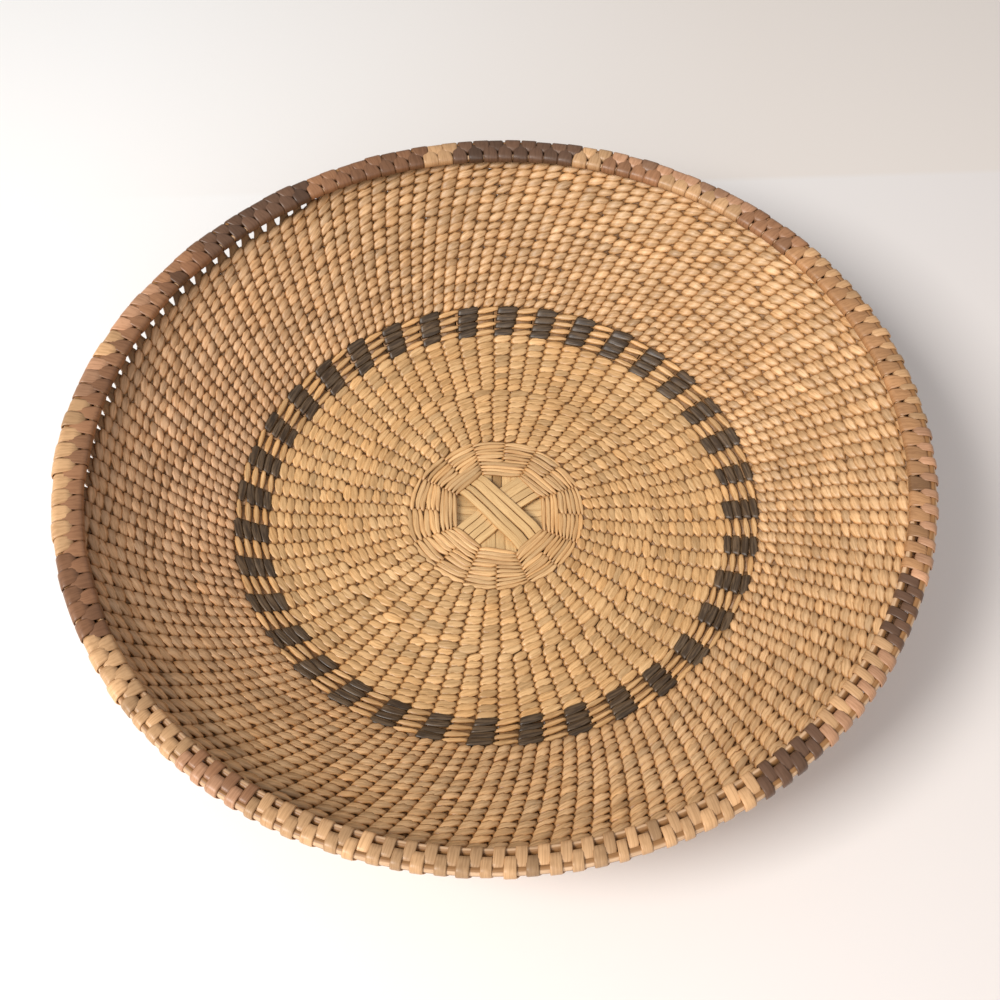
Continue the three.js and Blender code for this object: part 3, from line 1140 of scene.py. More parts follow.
@dataclass
class StartCross:
    """The sixteen strips that the basket starts from, laid across each other.

    A strip turns from its near arm's line to its far arm's within the blend on either
    side of its middle. Where an arm ends, its strips dip under the binding, and past
    there the arm's two halves spread apart. The waves are slight and differ by strip.
    """

    thickness: float = 0.92
    length: float = 72.0
    cuts: int = 34
    edge_radius: float = 0.3
    edge_segments: int = 2
    edge_angle: float = 40.0
    smooth_angle: float = 50.0
    blend: float = 8.0
    dip: float = 5.0
    dip_lead: float = 2.6
    middle_level: float = 2.3
    spread: float = 3.2
    spread_lag: float = 2.0
    crown: float = 0.12
    width_wave: float = 0.03
    width_pace: float = 0.13
    most_phase: float = 6.28
    side_wave: tuple[float, float] = (0.04, 0.11)
    side_pace: float = 0.11
    level_sway: float = 0.06
    level_wave: float = 0.05
    level_pace: float = 0.21
    tone_sway: float = 0.15
    grain_range: float = 90.0
    edge_shade: float = 0.6
    edge_taper: int = 8
    brown_tone: float = 0.6
    seed: int = 41
    bundles: tuple[Bundle, ...] = (
        Bundle(
            "top",
            4.14,
            Arm(130, 17.6, (Strip(-7.05, 3.1), Strip(-3.35, 3.5), Strip(0.5, 2.8), Strip(3.65, 3.2))),
            Arm(130, 17.2, (Strip(-6.95, 2.9), Strip(-3.4, 3.6), Strip(0.1, 2.4), Strip(3.3, 2.9))),
            (Tone(0.1, 0.1), Tone(0.6, 0.5), Tone(-0.7, -1.0), Tone(0.4, 0.2)),
        ),
        Bundle(
            "second",
            2.91,
            Arm(42, 16.4, (Strip(-5.0, 3.1), Strip(-1.7, 2.9), Strip(1.6, 2.95), Strip(4.8, 2.9))),
            Arm(35.5, 19.0, (Strip(-3.05, 2.7), Strip(0.35, 3.4), Strip(4.0, 3.7), Strip(7.4, 3.2))),
            (Tone(0.2, 0.3), Tone(-0.3, -0.6), Tone(0.0, 0.2), Tone(-0.2, -0.3)),
        ),
        Bundle(
            "third",
            1.69,
            Arm(90, 17.0, (Strip(-5.7, 4.6), Strip(-1.5, 3.7), Strip(2.4, 3.7), Strip(6.1, 3.6))),
            Arm(87, 18.6, (Strip(-7.55, 3.8), Strip(-3.8, 3.8), Strip(0.2, 3.9), Strip(4.2, 3.6))),
            (Tone(0.0, 0.2), Tone(-0.8, 0.1), Tone(-0.6, -2.3), Tone(0.0, -0.8)),
        ),
        Bundle(
            "bottom",
            0.46,
            Arm(-2, 16.2, (Strip(-4.5, 3.4), Strip(-1.1, 3.3), Strip(2.6, 3.9), Strip(7.3, 5.4))),
            Arm(-3, 19.4, (Strip(-5.9, 4.3), Strip(-2.1, 3.3), Strip(1.05, 2.9), Strip(5.6, 6.0))),
            (Tone(-0.3, -0.2), Tone(-0.9, -0.4), Tone(-0.1, 0.0), Tone(-0.8, -0.5)),
        ),
    )

    def _flat_strip(self, name: str, width: float) -> Piece:
        """Model one strip flat along X, finely cut so that it can bend, with round edges.

        Args:
            name: The piece's name.
            width: Its width.

        Returns:
            The strip, not yet bent.
        """
        leave_nothing_selected()
        bpy.ops.mesh.primitive_cube_add(size=1)
        strip = settle(name, (self.length, width, self.thickness))
        with edit_mode(whole=False, kind="EDGE"):
            bpy.ops.mesh.subdivide(number_cuts=self.cuts)
        make_active(strip)
        bevel = strip.modifiers.new("rounded_edges", "BEVEL")
        bevel.width = self.edge_radius
        bevel.segments = self.edge_segments
        bevel.angle_limit = math.radians(self.edge_angle)
        bpy.ops.object.modifier_apply(modifier=bevel.name)
        bpy.ops.object.shade_smooth_by_angle(angle=math.radians(self.smooth_angle))
        return strip

    def _bend(self, mesh: Mesh, bundle: Bundle, place: int, drawn: np.random.Generator) -> None:
        """Lay a flat strip in its bundle's line, dip its ends and note its fibre.

        Args:
            mesh: The strip's mesh, flat along X.
            bundle: The bundle that it lies in.
            place: Its place across the bundle, from 0.
            drawn: Where its small differences are drawn from.
        """
        x, y, z = points_of(mesh).T
        near, far = bundle.near_arm.strips[place], bundle.far_arm.strips[place]
        lie = 2 * y / near.width
        to_far = smooth_step((x + self.blend) / (2 * self.blend))
        reach = np.where(x > 0, bundle.far_arm.reach, bundle.near_arm.reach)
        out = np.abs(x)
        past = np.maximum(out - reach - self.spread_lag, 0) / (self.length / 2 - reach)
        half_arm = math.copysign(self.spread, place - (len(bundle.tones) - 1) / 2) * past
        phase, wave = drawn.uniform(0, self.most_phase), drawn.uniform(*self.side_wave)
        width = between(near.width, far.width, to_far)
        width = width * (1 + self.width_wave * np.sin(x * self.width_pace + phase))
        middle = between(near.middle, far.middle, to_far)
        y = middle + lie * width / 2 + half_arm + wave * np.sin(x * self.side_pace + phase)
        dip = smooth_step((out - reach + self.dip_lead) / self.dip)
        crown = np.where(z > 0, self.crown * (1 - lie**2), 0.0)
        level = bundle.level + drawn.uniform(-self.level_sway, self.level_sway)
        level = level + self.level_wave * np.sin(x * self.level_pace + 2 * phase)
        height = level * (1 - dip) + self.middle_level * dip + z + crown
        angle = np.radians(between(bundle.near_arm.heading, bundle.far_arm.heading, to_far))
        ahead = x * np.cos(angle) - y * np.sin(angle)
        across = x * np.sin(angle) + y * np.cos(angle)
        placed = np.column_stack([ahead, across, np.maximum(height, 0.0)])
        mesh.vertices.foreach_set("co", (placed * MM).ravel())
        fibre = fibre_note(x, lie * GRAIN_ACROSS, drawn.uniform(0, self.grain_range))
        tones = bundle.tones[place]
        tone = between(tones.near, tones.far, to_far) + drawn.normal() * self.tone_sway
        browned = np.clip(-tone / 2 - self.brown_tone, 0.0, 1.0)
        # Painted shade along the strip's edges; darker strips are browned as well.
        edge = self.edge_shade * np.abs(lie) ** self.edge_taper
        note_down(mesh, fibre, tone, crease_shaded(edge + browned))
        mesh.update()

    def build(self, material: Material) -> None:
        """Make the strips of all four bundles.

        Args:
            material: The strips' material.
        """
        drawn = np.random.default_rng(self.seed)
        for bundle in self.bundles:
            for place, strip in enumerate(bundle.near_arm.strips):
                piece = self._flat_strip(f"cross_{bundle.name}_splint_{place + 1}", strip.width)
                self._bend(piece.data, bundle, place, drawn)
                node = f"start_{bundle.name}_strip_{place + 1}"
                finish_piece(piece, material, "start_strip", node)


@dataclass(frozen=True)
class Binding:
    """The rounds of one binding, over so many sides."""

    name: str
    inner: float
    outer: float
    courses: int
    sides: int
    seed: int
    sway: float
    stitch: Stitch


@dataclass
class Bindings:
    """The two bindings that hold the arms of the cross, in eight and in sixteen sides."""

    bowl: BowlProfile
    width_sway: float = 0.16
    # How much painted shade the strands take along their edges.
    edge_shade: float = 0.5
    first: Binding = Binding(
        name="first_binding",
        inner=18.2,
        outer=25.6,
        courses=4,
        sides=8,
        seed=11,
        sway=0.16,
        stitch=Stitch(
            width=2.0,
            crossing_width=1.2,
            thickness=0.85,
            rise=1.1,
            slant=0.45,
            flatness=6.0,
            roll=4.0,
            places=(0.0, 0.03, 0.08, 0.2, 0.4, 0.6, 0.8, 0.92, 0.97),
            overlap=0.1,
            taper=16,
            straightness=4,
        ),
    )
    second: Binding = Binding(
        name="second_binding",
        inner=25.6,
        outer=37.2,
        courses=6,
        sides=16,
        seed=23,
        sway=0.22,
        stitch=Stitch(
            width=2.1,
            crossing_width=1.25,
            thickness=0.85,
            rise=1.1,
            slant=0.5,
            flatness=5.0,
            roll=6.0,
            places=(0.0, 0.04, 0.1, 0.25, 0.5, 0.75, 0.9, 0.96),
            overlap=0.15,
            taper=12,
            straightness=3,
        ),
    )

    def build(self, material: Material) -> None:
        """Lay the strands of both bindings.

        Args:
            material: Their material.
        """
        outline = StartOutline(self.first.inner, self.first.outer, self.second.outer)
        for ring in (self.first, self.second):
            zone = TwinedZone(
                ring.inner,
                ring.outer,
                ring.courses,
                ring.sides,
                0.0,
                ring.seed,
                sway=ring.sway,
                width_sway=self.width_sway,
                edge_shade=self.edge_shade,
                outline=outline,
            )
            strands = zone.lay(self.bowl, ring.stitch.pattern(ring.name), range(ring.courses))
            strands.finish(f"{ring.name}_strands", material, "binding_splint", ring.name)


@dataclass
class BaseWeave:
    """The twined base: an inner zone over 48 columns and an outer one over 72."""

    bowl: BowlProfile
    inner_radius: float = 37.4
    split_radius: float = 66.2
    outer_radius: float = 95.0
    courses: int = 9
    inner_columns: int = 48
    outer_columns: int = 72
    column_turn: float = -3.44
    spoke_start: float = 30.0
    spoke_overlap: float = 2.0
    spoke_pieces: int = 8
    stitch: Stitch = Stitch(
        width=4.1,
        crossing_width=1.9,
        thickness=0.95,
        rise=1.35,
        slant=0.82,
        flatness=3.6,
        flat_share=0.52,
        roll=12.0,
        places=(0.0, 0.08, 0.2, 0.5, 0.8, 0.92),
        overlap=0.14,
        taper=7,
    )

    def build(self, material: Material, spoke: Material) -> None:
        """Lay both zones and the spokes under them.

        Args:
            material: The strands' material.
            spoke: The spokes' material.
        """
        pattern = self.stitch.pattern("base_stitch")
        radii = (self.inner_radius, self.split_radius, self.outer_radius)
        inner, split, outer = (self.bowl.run_at(radius) for radius in radii)
        for part, start, end, columns, seed in (
            ("inner", inner, split, self.inner_columns, 31),
            ("outer", split, outer, self.outer_columns, 37),
        ):
            zone = TwinedZone(start, end, self.courses, columns, self.column_turn, seed)
            strands = zone.lay(self.bowl, pattern, range(self.courses))
            strands.finish(f"base_{part}_strands", material, "base_weave", f"base_weave_{part}")
        parts = MeshParts()
        lap = self.spoke_overlap
        for start, end, columns, seed in (
            (self.spoke_start, split + lap, self.inner_columns, 51),
            (split - lap, self.bowl.foot_run, self.outer_columns, 52),
        ):
            spokes = SpokeSet(start, end, columns, self.column_turn, self.spoke_pieces)
            spokes.lay(self.bowl, parts, seed)
        parts.finish("base_spokes", spoke, "base_weave")


@dataclass
class DashedBand:
    """Four courses in which a dark strand and a light one change places."""

    bowl: BowlProfile
    inner_radius: float = 95.0
    courses: int = 4
    columns: int = 72
    column_turn: float = -3.44
    dark_share: float = 0.51
    lean: float = -1.3
    seed: int = 61
    sway: float = 0.14
    width_sway: float = 0.12
    # Painted shade along the edges of the dark strands and of the light ones.
    dark_edge_shade: float = 0.0
    light_edge_shade: float = 0.6
    dark_stitch: Stitch = Stitch(
        width=3.6,
        crossing_width=2.9,
        thickness=0.85,
        rise=1.55,
        slant=0.5,
        flatness=4.5,
        flat_share=0.62,
        roll=8.0,
        places=(0.0, 0.05, 0.14, 0.3, 0.5, 0.7, 0.86, 0.95),
        overlap=0.16,
        taper=8,
    )
    light_stitch: Stitch = Stitch(
        width=2.75, crossing_width=1.7, thickness=1.0, rise=1.4, slant=0.6, flatness=2.8
    )

    def _lay(self, face: Face, stitch: Stitch, edge_shade: float) -> MeshParts:
        """Lay the strands that start on one face.

        Args:
            face: The face.
            stitch: Their stitch.
            edge_shade: How much painted shade they take along their edges.

        Returns:
            The strands, not yet a mesh.
        """
        start, end = self.bowl.run_at(self.inner_radius), self.bowl.foot_run
        zone = TwinedZone(
            start,
            end,
            self.courses,
            self.columns,
            self.column_turn,
            self.seed,
            lean=even_lean(start, end, self.lean),
            first_share=self.dark_share,
            sway=self.sway,
            width_sway=self.width_sway,
            edge_shade=edge_shade,
        )
        return zone.lay(self.bowl, stitch.pattern("band_stitch"), range(self.courses), [face])

    def build(self, dark: Material, light: Material) -> None:
        """Lay the dark strands and the light ones.

        Args:
            dark: The dark strands' material.
            light: The light strands' material.
        """
        strands = self._lay(Face.INSIDE, self.dark_stitch, self.dark_edge_shade)
        strands.finish("band_dark_strands", dark, "dark_weave", "band_dark_weaver")
        strands = self._lay(Face.OUTSIDE, self.light_stitch, self.light_edge_shade)
        strands.finish("band_light_strands", light, "base_weave")


@dataclass
class WallWeave:
    """The flaring wall, and the bare spokes of the open row above it."""

    bowl: BowlProfile
    courses: int = 17
    lower_courses: int = 9
    columns: int = 144
    column_turn: float = -4.69
    most_lean: float = -7.5
    seed: int = 71
    sway: float = 0.26
    width_sway: float = 0.14
    # Painted shade along the strands' edges, and a greyer, bluer painted shade on the wall's left.
    edge_shade: float = 0.5
    shaded_left: Stretch = Stretch(178.0, 0.0, 75.0)
    shaded_left_loss: Triple = (0.04, 0.06, -0.04)
    dark: Stretch = Stretch(100.0, 0.0, 62.0)
    dark_loss: Triple = (0.12, 0.13, 0.14)
    spoke_seed: int = 53
    spoke_lead: float = 4.0
    spoke_rise: float = 7.5
    spoke_pieces: int = 24
    bare_share: float = 0.57
    bare_lead: float = 2.0
    stitch: Stitch = Stitch(
        width=4.5,
        crossing_width=2.4,
        thickness=1.15,
        rise=1.45,
        slant=0.8,
        flatness=2.5,
        flat_share=0.46,
        roll=15.0,
        places=(0.0, 0.12, 0.5, 0.88),
        overlap=0.14,
        taper=7,
    )

    def _tint(self, turn: np.ndarray) -> np.ndarray:
        """Return the wall's tint: a greyer, bluer painted shade on its left, and its far side darker.
        """
        shaded_left, dark = 1 - self.shaded_left.past(turn), 1 - self.dark.past(turn)
        return 1 - np.outer(shaded_left, self.shaded_left_loss) - np.outer(dark, self.dark_loss)

    def build(self, material: Material, spoke: Material) -> None:
        """Lay the wall in two pieces, lower and upper, and its spokes.

        Args:
            material: The strands' material.
            spoke: The spokes' material.
        """
        foot, top = self.bowl.foot_run, self.bowl.top_run
        lean = even_lean(foot, top, self.most_lean)
        zone = TwinedZone(
            foot,
            top,
            self.courses,
            self.columns,
            self.column_turn,
            self.seed,
            lean=lean,
            sway=self.sway,
            width_sway=self.width_sway,
            edge_shade=self.edge_shade,
        )
        pattern = self.stitch.pattern("wall_stitch")
        for part, courses in (
            ("lower", range(self.lower_courses)),
            ("upper", range(self.lower_courses, self.courses)),
        ):
            strands = zone.lay(self.bowl, pattern, courses, tint=self._tint)
            strands.finish(f"wall_{part}_strands", material, "wall_weave", "wall_weave")
        parts = MeshParts()
        spokes = SpokeSet(
            foot - self.spoke_lead,
            top + self.spoke_rise,
            self.columns,
            self.column_turn,
            self.spoke_pieces,
            bare_share=self.bare_share,
            bare_run=top - self.bare_lead,
            lean=lean,
        )
        spokes.lay(self.bowl, parts, self.spoke_seed)
        parts.finish("wall_spokes", spoke, "wall_weave")


class Dye(Enum):
    """The dyes of the lengths worked into the rim, as colours to multiply by."""

    NONE = (1.0, 1.0, 1.0)
    TANNED = (0.80, 0.70, 0.63)
    PINKISH = (0.84, 0.76, 0.86)
    REDDISH = (0.60, 0.49, 0.48)
    BROWN = (0.38, 0.30, 0.29)
    DARK = (0.24, 0.21, 0.24)


@dataclass(frozen=True)
class DyedLength:
    """A length of dyed splint in the lashing, from one turn to another."""

    start: float
    end: float
    inner: Dye
    outer: Dye


@dataclass
class Rim:
    """Two hoops side by side, lashed in a figure of eight with one flat splint.

    The wraps round one hoop alternate with those round the other and reach past the
    middle of the rim between them. At the near side they stand apart and the hoops
    show between them. Elsewhere they nearly touch. Each wrap's tail is traced along
    the rim in wraps, across it in tails and up it in heights.
    """

    bowl: BowlProfile
    radius: float = 159.6
    height: float = 56.9
    tilt: float = 15.0
    hoop_width: float = 2.7
    hoop_height: float = 3.3
    hoop_spacing: float = 6.3
    hoop_segments: int = 216
    section_segments: int = 20
    # Where round each hoop's section it shows lit, and the painted shade it takes elsewhere.
    inner_lit: Stretch = Stretch(112.0, 22.0, 18.0)
    outer_lit: Stretch = Stretch(18.0, 22.0, 18.0)
    hoop_shade: float = 0.8
    wraps: int = 144
    splint_width: float = 3.85
    splint_thickness: float = 0.55
    splint_flat: float = 0.78
    clearance: float = 0.12
    outer_tail: float = 0.9
    inner_tail: float = 2.6
    tail_path: tuple[Triple, ...] = ((-0.08, 0.9, -0.35), (-0.03, 1.0, 0.62), (0.0, 0.62, 0.98))
    crossing: tuple[float, float] = (0.18, 1.1)
    bends: tuple[float, ...] = (96, 68, 40, 10, -24, -58, -92, -128)
    over_drift: float = 0.04
    under_drift: float = 0.34
    outer_part: float = 0.4
    first_wrap: float = 0.4
    apart: Stretch = Stretch(281.0, 52.0, 16.0)
    closeness: float = 0.72
    close_reach: float = 0.4
    thin: Stretch = Stretch(0.0, 24.0, 16.0)
    thinness: float = 0.1
    lean: float = 0.42
    lean_turn: float = 160.0
    wide: Stretch = Stretch(175.0, 0.0, 42.0)
    widening: float = 1.9
    seed: int = 83
    width_sway: float = 0.09
    place_sway: float = 0.3
    lean_sway: float = 0.06
    size_sway: float = 0.04
    edge_shade: float = 0.35
    edge_taper: int = 6
    grain_step: float = 3.7
    grain_pace: float = 3.0
    grain_across: float = 1.6
    # The inner row's darker dyes from 138 to 197 degrees are partly real dye and partly painted shade
    # on the inner row at the left.
    lengths: tuple[DyedLength, ...] = (
        DyedLength(0, 35, Dye.TANNED, Dye.NONE),
        DyedLength(35, 44, Dye.REDDISH, Dye.REDDISH),
        DyedLength(44, 60, Dye.NONE, Dye.PINKISH),
        DyedLength(60, 68, Dye.REDDISH, Dye.PINKISH),
        DyedLength(73, 94, Dye.DARK, Dye.DARK),
        DyedLength(99, 113, Dye.BROWN, Dye.BROWN),
        DyedLength(113, 119, Dye.REDDISH, Dye.REDDISH),
        DyedLength(119, 138, Dye.DARK, Dye.DARK),
        DyedLength(138, 150, Dye.BROWN, Dye.REDDISH),
        DyedLength(150, 158, Dye.REDDISH, Dye.PINKISH),
        DyedLength(158, 164, Dye.REDDISH, Dye.NONE),
        DyedLength(164, 172, Dye.BROWN, Dye.PINKISH),
        DyedLength(172, 197, Dye.REDDISH, Dye.NONE),
        DyedLength(197, 209, Dye.BROWN, Dye.BROWN),
        DyedLength(229, 238, Dye.REDDISH, Dye.PINKISH),
        DyedLength(300, 309.5, Dye.DARK, Dye.DARK),
        DyedLength(309.5, 323, Dye.NONE, Dye.PINKISH),
        DyedLength(323, 333, Dye.DARK, Dye.DARK),
        DyedLength(333, 360, Dye.TANNED, Dye.PINKISH),
    )

    @property
    def step(self) -> float:
        """The distance from wrap to wrap."""
        return 2 * math.pi * self.radius / self.wraps

    def _place(self, turn: np.ndarray, across: np.ndarray, up: np.ndarray) -> np.ndarray:
        """Place points given in the tilted section of the two hoops.

        Args:
            turn: Each point's turn round the axis, in degrees.
            across: Its place outward from between the hoops.
            up: Its place above the middle of the hoops.

        Returns:
            The points, one row each, in metres.
        """
        tilt = math.radians(self.tilt)
        widened = self.widening * (1 - self.wide.past(turn))
        across = across + widened * np.clip(2 * across / self.hoop_spacing, 0.0, 1.0)
        radius = self.radius + across * math.cos(tilt) - up * math.sin(tilt)
        height = self.height + across * math.sin(tilt) + up * math.cos(tilt)
        height = height + self.bowl.lift(turn, np.full_like(turn, self.bowl.top_run))
        return at_turn(turn, radius, height)

    def _hoop(self, part: str, side: int, lit: Stretch, material: Material) -> None:
        """Make one round cane hoop, bent to the uneven rim.

        Args:
            part: Which hoop it is.
            side: Its side of the rim's middle, 1 outward or -1 inward.
            lit: Where round its section it shows lit; elsewhere it takes a painted shade.
            material: Its material.
        """
        leave_nothing_selected()
        bpy.ops.mesh.primitive_torus_add(
            major_radius=self.radius,
            minor_radius=self.hoop_width / 2,
            major_segments=self.hoop_segments,
            minor_segments=self.section_segments,
        )
        hoop = settle(f"rim_{part}_cane")
        with edit_mode():
            bpy.ops.transform.resize(value=(1, 1, self.hoop_height / self.hoop_width))
        mesh = hoop.data
        x, y, up = points_of(mesh).T
        turn = np.degrees(np.arctan2(y, x))
        outward = np.hypot(x, y) - self.radius
        placed = self._place(turn, outward + side * self.hoop_spacing / 2, up)
        mesh.vertices.foreach_set("co", placed.ravel())
        around = np.degrees(np.arctan2(up, outward))
        along = np.abs(turn) * math.pi / 180 * self.radius
        sine, cosine = np.sin(np.radians(around)), np.cos(np.radians(around))
        # Painted shade on the hoop's section outside its lit stretch.
        dye = crease_shaded(lit.past(around), self.hoop_shade * CREASE_SHADE)
        note_down(mesh, np.column_stack([along, sine, cosine]), np.zeros(len(x)), dye)
        mesh.update()
        make_active(hoop)
        bpy.ops.object.shade_smooth()
        finish_piece(hoop, material, "rim_hoop", f"rim_{part}_hoop")

    def _path(self) -> list[Triple]:
        """Trace one wrap of the splint round both hoops.

        Returns:
            Places along the rim in wraps, across the rim and up, round the outer hoop
            first and then round the inner one.
        """
        clear = self.splint_thickness / 2 + self.clearance
        wide = self.hoop_width / 2 + clear
        high = self.hoop_height / 2 + clear
        quarter = len(self.bends) // 2
        path = []
        for side, start, tail in ((1, 0.0, self.outer_tail), (-1, 0.5, self.inner_tail)):
            for ahead, reach, level in self.tail_path:
                path.append((start + ahead, -side * tail * reach, high * level))
            out, level = self.crossing
            path.append((start, side * self.hoop_spacing * out, high * level))
            for number, bend in enumerate(self.bends):
                angle = math.radians(bend)
                across = side * (self.hoop_spacing / 2 + wide * math.cos(angle))
                under = float(smooth_step(np.array((number - quarter) / quarter)))
                drift = self.over_drift * number / len(self.bends) + self.under_drift * under
                path.append((start + drift, across, high * math.sin(angle)))
        return path

    def _splint(self) -> Pattern:
        """Model one wrap of the splint, closed on to the next.

        Returns:
            The wrap, with its places along the rim as a length.
        """
        path = self._path()
        first = path[0]
        path = [*path, (first[0] + 1.0, first[1], first[2])]
        stations = []
        turned = 0.0
        for i, (along, across, up) in enumerate(path):
            before = path[i - 1] if i > 0 else path[-2]
            after = path[i + 1] if i < len(path) - 1 else path[1]
            heading = math.atan2(after[2] - before[2], after[1] - before[1])
            heading -= 2 * math.pi * round((heading - turned) / (2 * math.pi))
            turned = heading
            size = (self.splint_width, 0.0, self.splint_thickness)
            stations.append(Station((along * self.step, across, up), heading, size))
        plane = RingPlane.ALONG_THE_RIM
        return StrandPattern("lashing_wrap", plane, self.splint_flat, tuple(stations)).model()

    def _dyes_at(self, turn: float) -> tuple[Dye, Dye]:
        """Find the dyes of the wraps at a turn round the rim.

        Args:
            turn: The turn.

        Returns:
            The dyes of the inner and outer wraps.
        """
        for length in self.lengths:
            if length.start <= turn % FULL_TURN < length.end:
                return length.inner, length.outer
        return Dye.NONE, Dye.NONE

    def _lash(self) -> MeshParts:
        """Lay the wraps round the rim, each a little different.

        Returns:
            The wraps, not yet a mesh.
        """
        wrap = self._splint()
        step = self.step
        pitch = FULL_TURN / self.wraps
        tones = np.random.default_rng(self.seed).normal(size=2 * self.wraps)
        wobble = HandWobble(self.seed + 1, 4, self.wraps)
        along, across, up = wrap.points.T
        half = wrap.lie * self.splint_width / 2
        middle = along - half
        on_outer = middle < self.outer_part * step
        outward = np.where(on_outer, across, -across) / (self.hoop_spacing / 2)
        own = np.clip(outward + self.close_reach, 0.0, 1.0)
        # Painted shade along the edges of each wrap.
        edge = crease_shaded(self.edge_shade * np.abs(wrap.lie) ** self.edge_taper)
        parts = MeshParts()
        for number in range(self.wraps):
            place = number + middle / step
            turn = self.first_wrap + pitch * place
            close = self.closeness * self.apart.past(turn)
            thin = on_outer * (1 - self.thin.past(turn))
            width = 1 + close * own * (1 - thin) - self.thinness * thin
            width = width + self.width_sway * wobble.at(0, place)
            shift = half * width + self.place_sway * wobble.at(1, place)
            lean = self.lean * np.cos(np.radians(turn - self.lean_turn))
            lean = lean + self.lean_sway * wobble.at(2, place)
            lean = lean * across / (2 * self.hoop_spacing)
            turn = turn + pitch * (shift / step + lean)
            size = 1 + self.size_sway * wobble.at(3, place)
            tone = np.where(on_outer, tones[2 * number], tones[2 * number + 1])
            grain = np.hypot(across, up) * self.grain_pace
            fibre = fibre_note(grain, wrap.lie * self.grain_across, number * self.grain_step)
            inner, outer = self._dyes_at(self.first_wrap + pitch * number)
            dye = np.where(on_outer[:, None], outer.value, inner.value) * edge
            parts.add(self._place(turn, across * size, up * size), wrap.faces, fibre, tone, dye)
        return parts

    def build(self, hoop: Material, splint: Material) -> None:
        """Make the hoops and lash them.

        Args:
            hoop: The hoops' material.
            splint: The lashing's material.
        """
        self._hoop("inner", -1, self.inner_lit, hoop)
        self._hoop("outer", 1, self.outer_lit, hoop)
        self._lash().finish("rim_splint_wraps", splint, "rim_lashing", "rim_lashing")


@dataclass(frozen=True)
class PhotoCamera:
    """A camera at the photograph's place."""

    lens: float = 39.6
    sensor: float = 36.0
    distance: float = 463.2
    elevation: float = 56.885
    roll: float = 1.79
    aim_height: float = 4.6
    shift: tuple[float, float] = (0.0040, 0.0108)
    clip: tuple[float, float] = (0.01, 20.0)

    def add(self) -> None:
        """Add the camera and make it the scene's."""
        data = bpy.data.cameras.new("photo_camera")
        data.lens = self.lens
        data.sensor_width = self.sensor
        data.shift_x, data.shift_y = self.shift
        data.clip_start, data.clip_end = self.clip
        camera = bpy.data.objects.new("photo_camera", data)
        bpy.context.scene.collection.objects.link(camera)
        tilt = math.radians(self.elevation)
        back = Vector((0.0, -math.cos(tilt), math.sin(tilt)))
        camera.location = (back * self.distance + Vector((0, 0, self.aim_height))) * MM
        lift = Matrix.Rotation(math.pi / 2 - tilt, 4, "X")
        roll = Matrix.Rotation(-math.radians(self.roll), 4, "Z")
        camera.rotation_euler = (lift @ roll).to_euler()
        bpy.context.scene.camera = camera


@dataclass(frozen=True)
class SoftLamp:
    """A square soft light, aimed at the basket, with its place and size in metres."""

    name: str
    place: Triple
    size: float
    power: float
    colour: Triple

    def add(self) -> None:
        """Add the lamp."""
        data = bpy.data.lights.new(self.name, "AREA")
        data.size = self.size
        data.energy = self.power
        data.color = self.colour
        lamp = bpy.data.objects.new(self.name, data)
        bpy.context.scene.collection.objects.link(lamp)
        lamp.location = self.place
        lamp.rotation_euler = (-Vector(self.place)).to_track_quat("-Z", "Y").to_euler()


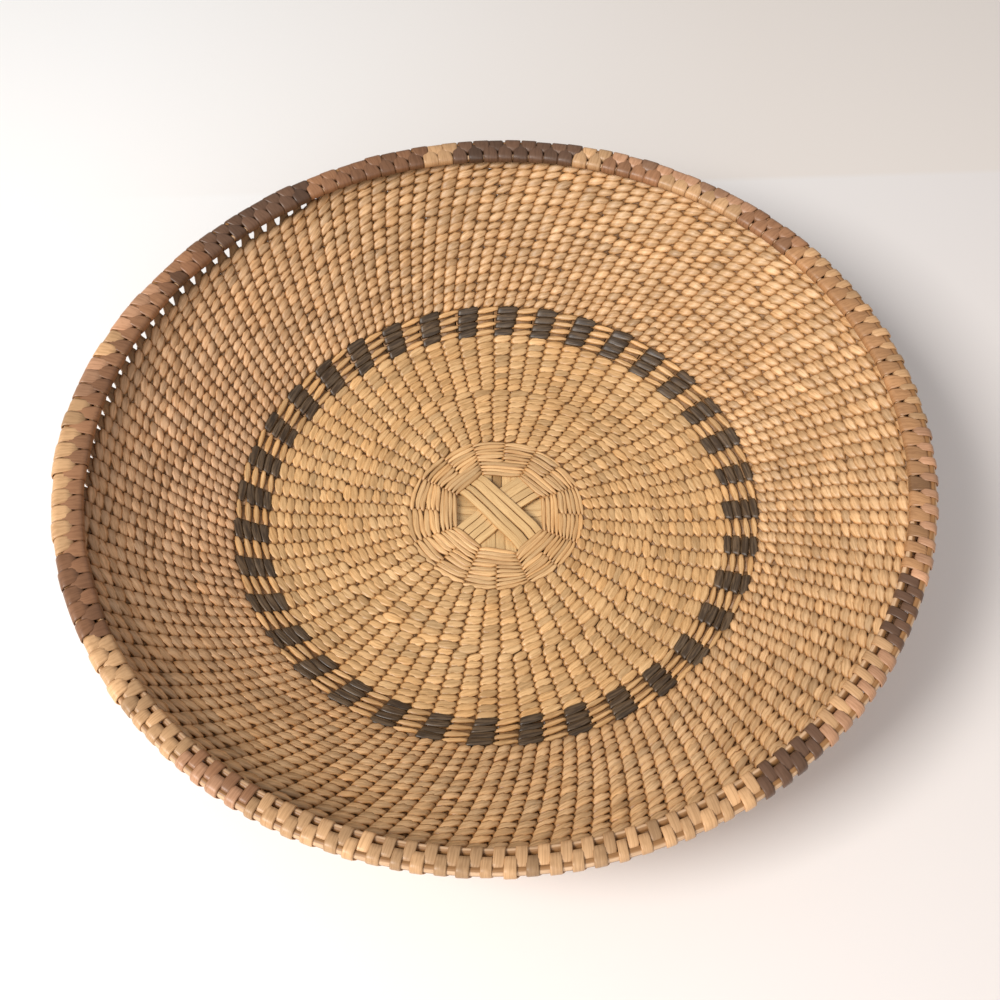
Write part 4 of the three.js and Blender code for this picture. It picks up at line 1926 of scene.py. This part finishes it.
@dataclass
class Studio:
    """A pale floor, soft light from the left and from the front, and a pale surround.

    The floor's lengths are in metres. Its colour turns pinker and darker to the right, along a
    slanting range, and greyer at the right beyond a line that stands for the wall: painted shade
    where the left window's light falls off.
    """

    camera: PhotoCamera = PhotoCamera()
    lamps: tuple[SoftLamp, ...] = (
        SoftLamp("left_window", (-0.80, -0.48, 1.04), 0.5, 18.0, (1.0, 0.975, 0.94)),
        SoftLamp("front_window", (0.0, -1.15, 0.62), 0.9, 4.5, (1.0, 0.97, 0.94)),
    )
    world_colour: tuple[float, ...] = (1.0, 0.99, 1.0, 1.0)
    world_strength: float = 0.40
    floor_width: float = 6.0
    floor_drop: float = 0.0001
    floor_roughness: float = 0.8
    floor_white: Triple = (0.92, 0.91, 0.90)
    floor_pink_shade: Triple = (0.84, 0.78, 0.75)
    pink_slant: float = -0.5
    pink_range: tuple[float, float] = (-0.22, 0.30)
    wall_shade_grey: Triple = (0.85, 0.78, 0.72)
    wall_line: float = 0.205
    wall_blur: float = 0.004
    grey_range: tuple[float, float] = (-0.22, 0.16)
    grey_share: float = 0.8

    def build(self) -> None:
        """Set the camera, lamps, surround and floor."""
        self.camera.add()
        for lamp in self.lamps:
            lamp.add()
        world = bpy.data.worlds.new("pale_surround")
        bpy.context.scene.world = world
        world.use_nodes = True
        surround = world.node_tree.nodes["Background"]
        surround.inputs["Color"].default_value = self.world_colour
        surround.inputs["Strength"].default_value = self.world_strength
        bpy.context.scene.view_settings.view_transform = "Standard"
        self._floor()

    def _floor(self) -> None:
        """Lay a wide pale floor, a hair below the undersides of the start's lowest strips."""
        leave_nothing_selected()
        bpy.ops.mesh.primitive_plane_add(size=self.floor_width, location=(0, 0, -self.floor_drop))
        floor = settle("studio_floor")
        made = FinishNodes("pale_floor")
        axes = made.add("SeparateXYZ", {"Vector": made.add("TexCoord")["Object"]})
        slanted = made.reckon("MULTIPLY_ADD", axes["Y"], self.pink_slant, axes["X"])
        right = made.spread(slanted, *self.pink_range)
        # Painted shade: the left window's light falling off to the right and beyond the wall line.
        pink = made.mix("MIX", right, self.floor_white, self.floor_pink_shade)
        beyond = made.spread(axes["Y"], self.wall_line, self.wall_line + self.wall_blur)
        far_right = made.spread(axes["X"], *self.grey_range, self.grey_share)
        both = made.reckon("MULTIPLY", beyond, far_right)
        grey = made.mix("MIX", both, pink, self.wall_shade_grey)
        material = made.dress({"Base Color": grey, "Roughness": self.floor_roughness})
        floor.data.materials.append(material)


def main() -> None:
    """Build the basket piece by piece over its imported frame."""
    logging.basicConfig(level=logging.INFO, format="%(name)s: %(message)s")
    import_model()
    bowl = BowlProfile()
    finishes = Finishes()
    Studio().build()
    StartCross().build(finishes.strip.material())
    Bindings(bowl).build(finishes.binding.material())
    base = finishes.base.material()
    spoke = finishes.spoke.material()
    BaseWeave(bowl).build(base, spoke)
    DashedBand(bowl).build(finishes.dark.material(), base)
    WallWeave(bowl).build(finishes.wall.material(), spoke)
    Rim(bowl).build(finishes.hoop.material(), finishes.lashing.material())


if __name__ == "__main__":
    main()
